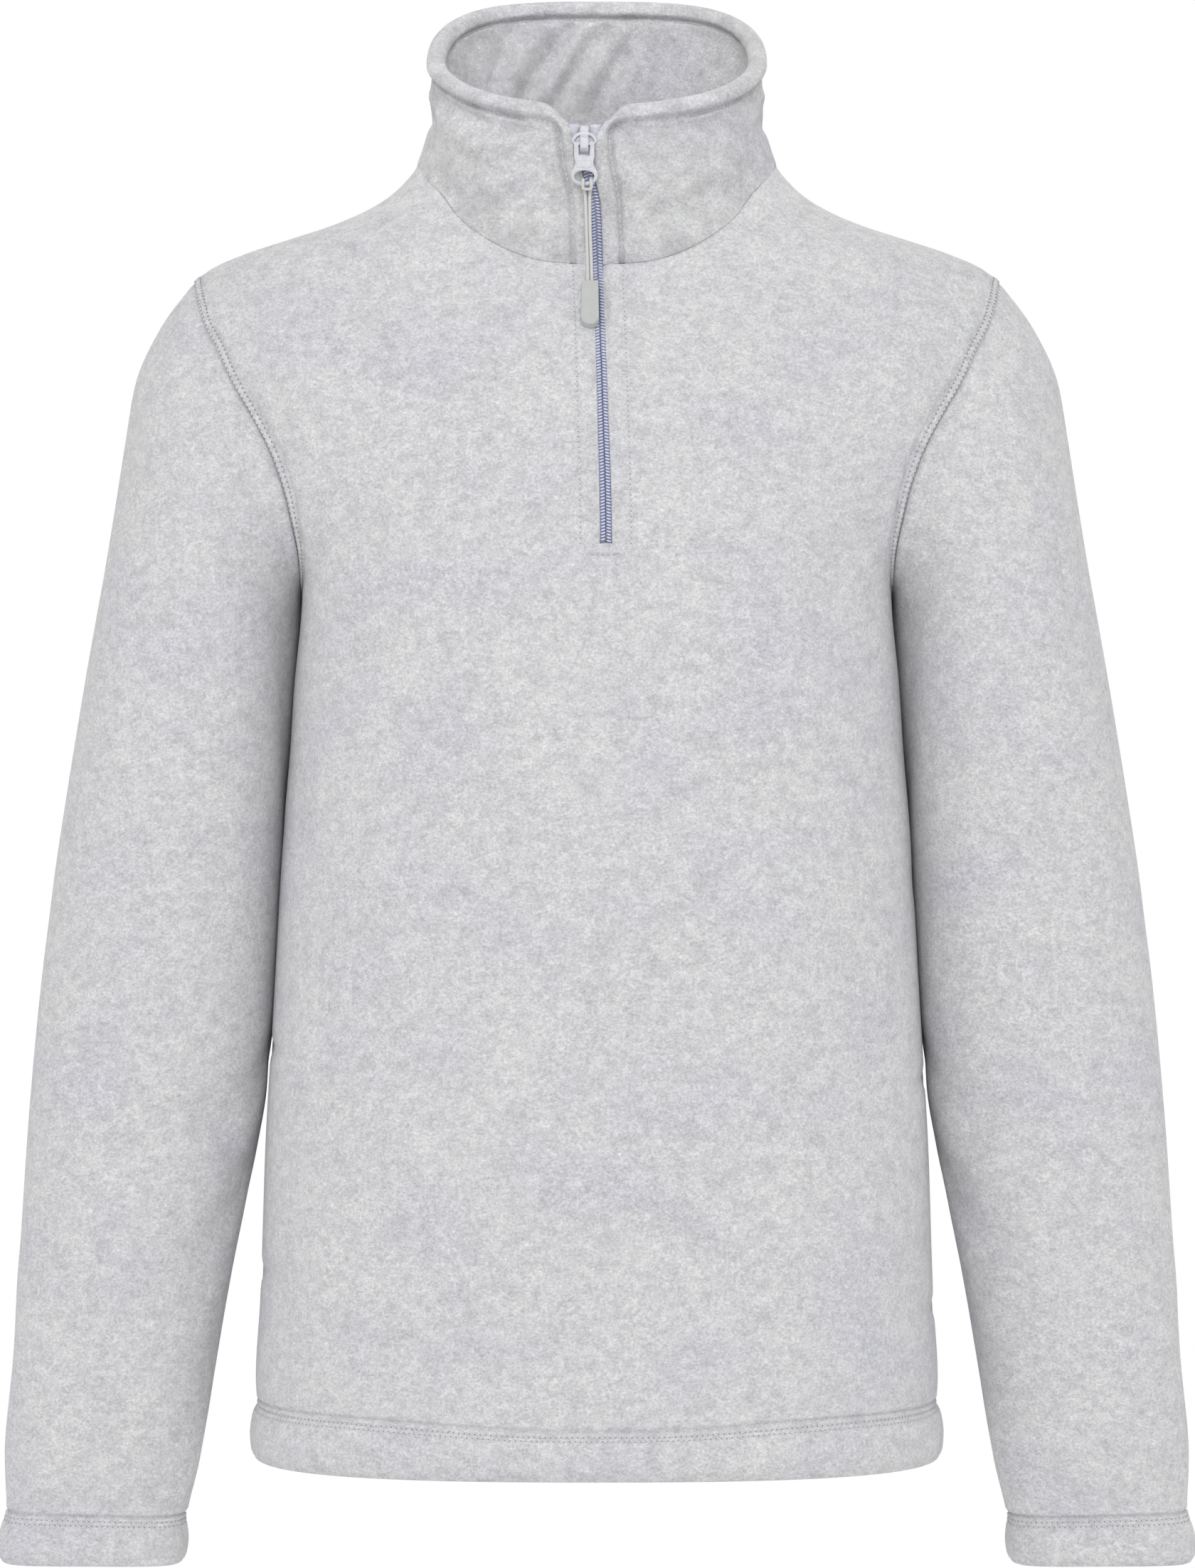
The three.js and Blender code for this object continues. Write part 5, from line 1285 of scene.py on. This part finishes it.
# Nylon monofilament, heat-set into the coil: pale lavender, smooth, with small bright highlights.
nylon = clouded_finish("heat_set_nylon_coil", ("#CBD0E6", "#D8DCEE"), (700.0, 2.0), 0.3, 0.5)

# The same tape at its heat-sealed, folded end: paler and smoother, with its weave pressed flat.
folded = clouded_finish("heat_sealed_tape_end", ("#BEBFCB", "#D0D1DA"), (900.0, 2.0), 0.6, 0.3)


def egg_tree(name, segments, rings, material):
    """A tree that sets an egg shape at each point, with its three half sizes as inputs."""
    tree, start = shape_tree(name, HALF_SIZES)
    ball = add_node(tree, "GeometryNodeMeshUVSphere",
                    values={"Segments": segments, "Rings": rings, "Radius": 1.0})
    size = add_node(tree, "ShaderNodeCombineXYZ",
                    links={axis: start.outputs[label] for axis, label in zip("XYZ", HALF_SIZES)})
    egg = add_node(tree, "GeometryNodeTransform",
                   links={"Geometry": ball.outputs["Mesh"], "Scale": size.outputs["Vector"]})
    finish_tree(tree, start, egg.outputs["Geometry"], material)
    return tree


tooth_tree = egg_tree("coil_tooth", 12, 8, nylon)


def beside_zip(side, profile, height):
    """A ring of points at one height, given as distances from the zip's line and behind the cloth."""
    aside, behind = np.array(profile).T
    across = zip_across(height) + side * aside
    skin = front_skin(across, np.full(len(profile), height))
    return np.stack([across, skin[:, 1] + behind, skin[:, 2]], -1)[::side]


def make_tape(side, node):
    """One side of the zip: its tape, its half of the coil and the folded tip at its top."""
    heights = np.concatenate([np.arange(SLIT_BOTTOM + 0.5, -4, 4), np.arange(-4, TAPE_TOP + 0.1, 1.5)])
    behind = lerp(TAPE_BEHIND_BODY, TAPE_BEHIND_COLLAR, smooth_share(heights, -67, -55))
    spread, sunk = chain_spread(heights), coil_depth(heights)
    rings = []
    for height, back, open_by, deep in zip(heights, behind, spread, sunk):
        profile = [(0.05, deep + 0.55), (3.2, deep + 0.55), (4.2, back), (TAPE_WIDTH, back),
                   (TAPE_WIDTH, back + TAPE_THICKNESS), (4.0, back + TAPE_THICKNESS),
                   (3.0, deep + 1.2), (0.05, deep + 1.2)]
        rings.append(beside_zip(side, [(open_by + aside, far) for aside, far in profile], height))
    tape = loft(f"zip_tape_{node}", np.array(rings), weave)
    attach(tape, "pullover")
    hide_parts(node)

    heights = np.arange(CHAIN_BOTTOM + (0 if side > 0 else COIL_PITCH / 2), CHAIN_TOP, COIL_PITCH)
    open_by = chain_spread(heights) + TOOTH_OFFSET - 0.1
    across = zip_across(heights) + side * open_by
    skin = front_skin(across, heights)
    centre = np.stack([across, skin[:, 1] + coil_depth(heights), skin[:, 2]], -1)
    upward = np.gradient(centre, axis=0)
    upward /= np.linalg.norm(upward, axis=1)[:, None]
    tilt = math.radians(TOOTH_TILT)
    along = side * np.cross(upward, (0, 1, 0)) * math.cos(tilt) + upward * math.sin(tilt)
    out = np.cross(along, upward)
    out *= np.sign(-out[:, 1:2])
    coil = shape_at_points(f"zip_coil_{node}", centre, along, out, tooth_tree,
                           {label: half * MM for label, half in zip(HALF_SIZES, TOOTH)})
    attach(coil, "pullover")

    tip = []
    for share in np.linspace(0, 1, 6):
        height = lerp(TIP_FOOT[2], TIP_HEAD[2], share)
        inner, wide = lerp(TIP_FOOT[0], TIP_HEAD[0], share), lerp(TIP_FOOT[1], TIP_HEAD[1], share)
        tip.append(beside_zip(side, [
            (inner, 0.9), (inner + 0.3, 0.3), (inner + wide - 0.3, 0.3), (inner + wide, 0.9),
            (inner + wide, 2.6), (inner, 2.6)], height))
    fold = loft(f"zip_tip_{node}", np.array(tip), folded)
    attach(fold, "pullover")


make_tape(1, "zip_left")
make_tape(-1, "zip_right")

# ---------------------------------------------------------------- stitching
# Pale grey polyester thread, 0.4 mm thick, at about four stitches to the centimetre: two rows of
# coverstitch on hem, cuffs and the body's side of each armhole, one row on collar and placket.
THREAD_RADIUS = 0.21
STITCH_LENGTH = 2.05
STITCH_RISE = 0.42
# Half sizes of the dots of painted shade at the needle holes.
HOLE_SHADE = (0.38, 0.46, 0.18)
STITCH_LOOK_AHEAD = 0.4
ARMHOLE_COLUMNS, BAR_POINTS = 40, 30

# Spun polyester thread: very pale grey, matt, a little paler than the fleece it is sewn through.
thread = clouded_finish("spun_polyester_thread", ("#D3D3D6", "#E4E4E6"), (1600.0, 2.0), 0.7, 0.3)

stitch_tree, stitch_start = shape_tree("lock_stitch", ("Half Length", "Rise", "Thread Radius"))
stitch_back = add_node(stitch_tree, "ShaderNodeMath", {"operation": "MULTIPLY"}, {1: -1.0},
                       {0: stitch_start.outputs["Half Length"]})
stitch_sink = add_node(stitch_tree, "ShaderNodeMath", {"operation": "MULTIPLY"}, {1: -1.0},
                       {0: stitch_start.outputs["Rise"]})
stitch_ends = [add_node(stitch_tree, "ShaderNodeCombineXYZ", links={"X": x, "Z": z}).outputs[0]
               for x in (stitch_back.outputs[0], stitch_start.outputs["Half Length"])
               for z in (stitch_sink.outputs[0], stitch_start.outputs["Rise"])]
stitch_arc = add_node(stitch_tree, "GeometryNodeCurvePrimitiveBezierSegment",
                      values={"Resolution": 5}, links={
                          "Start": stitch_ends[0], "Start Handle": stitch_ends[1],
                          "End Handle": stitch_ends[3], "End": stitch_ends[2]})
stitch_round = add_node(stitch_tree, "GeometryNodeCurvePrimitiveCircle", values={"Resolution": 6},
                        links={"Radius": stitch_start.outputs["Thread Radius"]})
stitch_shape = add_node(stitch_tree, "GeometryNodeCurveToMesh", values={"Fill Caps": True}, links={
    "Curve": stitch_arc.outputs["Curve"], "Profile Curve": stitch_round.outputs["Curve"]})
finish_tree(stitch_tree, stitch_start, stitch_shape.outputs["Mesh"], thread)


# Painted shade at the needle holes: dots of soft dark grey between the stitches, where the nap pulled down
# into the holes would lie in shadow.
hole_shade_paint, hole_shade_paint_tree = new_material("painted_shade_at_stitch_hole")
finish_shader(hole_shade_paint_tree,
              {"Base Color": linear("#97979B"), "Roughness": 0.95, "Specular IOR Level": 0.1}, None)
hole_shade_tree = egg_tree("stitch_hole_shade", 8, 4, hole_shade_paint)


def outward_normals(points):
    """Normals of a grid of points, pointing away from the middle of its rows."""
    normal = np.cross(np.gradient(points, axis=1), np.gradient(points, axis=0))
    normal /= np.maximum(np.linalg.norm(normal, axis=-1), 1e-12)[..., None]
    return normal * np.sign((normal * (points - points.mean(axis=1, keepdims=True))).sum(-1).mean())


def line_in_grid(points, normals, row, column):
    """A line through a grid at fractional rows and columns, with the normals along it."""
    row = np.clip(row, 0, len(points) - 1.001)
    column = np.clip(column, 0, points.shape[1] - 1.001)
    i, j = row.astype(int), column.astype(int)
    s, t = (row - i)[:, None], (column - j)[:, None]
    return [lerp(lerp(g[i, j], g[i, j + 1], t), lerp(g[i + 1, j], g[i + 1, j + 1], t), s)
            for g in (points, normals)]


def sew(rows):
    """Places, directions and normals of the stitches along a list of (line, normals)."""
    places, along, out = [], [], []
    for line, normals in rows:
        run = run_along(line)
        marks = np.arange(STITCH_PITCH / 2, run[-1], STITCH_PITCH)
        place, ahead, normal = (np.stack([np.interp(at, run, v[:, k]) for k in range(3)], -1)
                                for at, v in ((marks, line), (marks + STITCH_LOOK_AHEAD, line),
                                              (marks, normals)))
        places.append(place + normal * 0.05)
        along.append(ahead - place)
        out.append(normal)
    return [np.concatenate(group) for group in (places, along, out)]


def stitches(name, rows, hole_shade_size=1.0):
    """The stitches along a list of lines, and dots of painted shade at the needle holes between them."""
    places, along, out = sew(rows)
    thread_piece = shape_at_points(name, places, along, out, stitch_tree, {
        "Half Length": STITCH_LENGTH / 2 * MM, "Rise": STITCH_RISE * MM,
        "Thread Radius": THREAD_RADIUS * MM})
    # Dots of painted shade at the needle holes, between the stitches.
    between_stitches = places - along / STITCH_LOOK_AHEAD * STITCH_PITCH / 2
    hole_shades = shape_at_points(name + "_stitch_hole_shade", between_stitches, along, out, hole_shade_tree,
                            {label: half * hole_shade_size * MM for label, half in zip(HALF_SIZES, HOLE_SHADE)})
    for piece in (thread_piece, hole_shades):
        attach(piece, "pullover")
    return [thread_piece, hole_shades]


# The rows of the body: round the hem, round each armhole, beside the zip and under it.
hem_rows, armhole_rows, placket_rows = [], {1: [], -1: []}, []
for facing in (-1, 1):
    base, normals = panel_grid(facing)
    grid = base + normals * panel_lift(base, facing)[0][..., None]
    numbers = np.arange(base.shape[1], dtype=float)
    for below in HEM_ROWS:
        row = np.interp(HEM_STITCH + below, side_levels, np.arange(len(side_levels)))
        hem_rows.append(line_in_grid(grid, normals, np.full(len(numbers), row), numbers))
    beside = from_armhole(base, facing)
    for distance in ARMHOLE_ROWS:
        zone = np.flatnonzero(beside[:, 0] < distance)
        for side in (-1, 1):
            outer = (numbers if side < 0 else numbers[::-1])[:ARMHOLE_COLUMNS]
            column = [np.interp(distance, beside[i, outer.astype(int)], outer) for i in zone]
            armhole_rows[side].append(line_in_grid(grid, normals, zone.astype(float), np.array(column)))
    if facing < 0:
        zone = np.arange(SLIT_ROW, len(base) - 1)
        for side in (-1, 1):
            column = [np.interp(zip_across(base[i, len(front_shares), 2]) + side * PLACKET, base[i, :, 0],
                                numbers) for i in zone]
            placket_rows.append(line_in_grid(grid, normals, zone.astype(float), np.array(column)))
        row = np.interp(BAR_HEIGHT, base[:SHOULDER_ROW, len(front_shares), 2], np.arange(SHOULDER_ROW))
        ends = [np.interp(zip_across(SLIT_BOTTOM) + reach, base[int(row), :, 0], numbers)
                for reach in (-BAR_HALF, BAR_HALF)]
        placket_rows.append(line_in_grid(grid, normals, np.full(BAR_POINTS, row),
                                         np.linspace(*ends, BAR_POINTS)))
body_thread = (stitches("front_hem_coverstitch", hem_rows[:2])
               + stitches("placket_topstitch", placket_rows, 0.8)
               + stitches("left_armhole_coverstitch", armhole_rows[1], 1.6)
               + stitches("right_armhole_coverstitch", armhole_rows[-1], 1.6))
back_thread = stitches("back_hem_coverstitch", hem_rows[2:])



def round_corner(distance):
    """How far a line that turns a corner is from one edge, where it is so far from the other."""
    return -np.log(1 - np.exp(-TOPSTITCH_TURN * distance)) / TOPSTITCH_TURN


# The collar's row runs up beside the zip, turns the corner, and goes round below the rim.
skin, _, from_rim, from_lip = collar_skins()
skin_normals = outward_normals(skin)
up_front, round_top = np.arange(56, 1.6, -0.8), np.arange(1.6, 215, 1.5)
down = np.concatenate([up_front, round_corner(round_top)]) + RIM_BAND
inward = np.concatenate([round_corner(up_front), round_top]) + PLACKET - zip_lip(0)
columns = np.arange(skin.shape[1])
middle = skin.shape[1] // 2
collar_thread = []
for near in (1, -1):
    line = []
    for deep, reach in zip(down, inward):
        row = len(skin) // 2
        for _ in range(3):
            half = slice(0, middle) if near > 0 else slice(middle, None)
            order = from_lip[row, half] * near
            column = np.interp(reach * near, order, columns[half])
            at = int(round(column))
            row = int(round(np.interp(-deep, -from_rim[:, at], np.arange(len(skin)))))
        line.append((np.interp(-deep, -from_rim[:, at], np.arange(len(skin))), column))
    line = np.array([place for place in line if place[0] > 1.5])
    collar_row = line_in_grid(skin, skin_normals, line[:, 0], line[:, 1])
    collar_thread += stitches(f"{'left' if near > 0 else 'right'}_collar_topstitch", [collar_row], 0.6)

# Two rows round each cuff.
base = sleeve_grid()
closed = np.concatenate([base, base[:, :1]], axis=1)
lift = sleeve_lift(base)
cuff_normals = outward_normals(closed)
cuff_grid = closed + cuff_normals * np.concatenate([lift, lift[:, :1]], axis=1)[..., None]
columns = np.arange(closed.shape[1], dtype=float)
rows = [np.interp(CUFF_DITCH + below, sleeve_places, np.arange(len(sleeve_places)))
        for below in CUFF_ROWS]
for name, side in (("left_cuff_coverstitch", 1), ("right_cuff_coverstitch", -1)):
    flip = np.array([side, 1, 1])
    stitches(name, [
        line_in_grid(cuff_grid * flip, cuff_normals * flip, np.full(len(columns), row), columns)
        for row in rows])

# ---------------------------------------------------------------- floor and lights
# A plain pale studio floor well below the pullover, and soft white light from all round it,
# strongest from above and in front.
FLOOR_HEIGHT = -1.15
FLOOR_RADIUS, FLOOR_SIDES = 2.4, 96

floor_paint, floor_tree = new_material("matt_white_floor_paint")
finish_shader(floor_tree, {"Base Color": linear("#F4F4F4"), "Roughness": 0.9}, None)
disc_turns = 2 * np.pi * np.arange(FLOOR_SIDES) / FLOOR_SIDES
disc = np.stack([FLOOR_RADIUS * np.cos(disc_turns), FLOOR_RADIUS * np.sin(disc_turns),
                 np.full(FLOOR_SIDES, FLOOR_HEIGHT)], -1)
floor = new_mesh("studio_floor", disc, [list(range(FLOOR_SIDES))], floor_paint)

# The surround lights more from above than from below, and is plain white where it is seen.
WHITE = linear("#FFFFFF")
world = bpy.data.worlds.new("soft_studio_surround")
world.use_nodes = True
sky = world.node_tree
sky.nodes.clear()
sky_place = add_node(sky, "ShaderNodeTexCoord")
sky_parts = add_node(sky, "ShaderNodeSeparateXYZ", links={"Vector": sky_place.outputs["Generated"]})
sky_level = add_node(sky, "ShaderNodeMapRange", values={
    "From Min": -1.0, "From Max": 1.0, "To Min": 0.53, "To Max": 0.72},
    links={"Value": sky_parts.outputs["Z"]})
sky_light = add_node(sky, "ShaderNodeBackground", values={"Color": WHITE},
                     links={"Strength": sky_level.outputs[0]})
sky_seen = add_node(sky, "ShaderNodeBackground", values={"Color": WHITE, "Strength": 1.0})
sky_path = add_node(sky, "ShaderNodeLightPath")
sky_mix = add_node(sky, "ShaderNodeMixShader", links={
    0: sky_path.outputs["Is Camera Ray"], 1: sky_light.outputs[0], 2: sky_seen.outputs[0]})
add_node(sky, "ShaderNodeOutputWorld", links={"Surface": sky_mix.outputs[0]})
bpy.context.scene.world = world


def soft_light(name, place, aim, size, power, beam=180):
    """A square soft box at a place, turned towards a point, with its beam in degrees."""
    data = bpy.data.lights.new(name, "AREA")
    data.shape = "SQUARE"
    data.size = size
    data.energy = power
    data.spread = math.radians(beam)
    lamp = bpy.data.objects.new(name, data)
    lamp.location = place
    direction = Vector(aim) - Vector(place)
    lamp.rotation_euler = direction.to_track_quat("-Z", "Y").to_euler()
    bpy.context.scene.collection.objects.link(lamp)


soft_light("key_soft_box", (-0.1, -2.5, 0.9), (0, 0, -0.25), 1.4, 26.5)
soft_light("left_soft_box", (2.6, -1.2, 0.1), (0, 0, -0.35), 1.8, 10)
soft_light("right_soft_box", (-2.6, -1.2, 0.1), (0, 0, -0.35), 1.8, 10)
soft_light("collar_soft_box", (0, -1.7, 1.1), (0, 0.06, 0.08), 0.25, 0.06, 7)
soft_light("back_soft_box", (0.4, 2.8, 1.8), (0, 0, -0.3), 2.4, 20)
bpy.context.scene.view_settings.view_transform = "Standard"
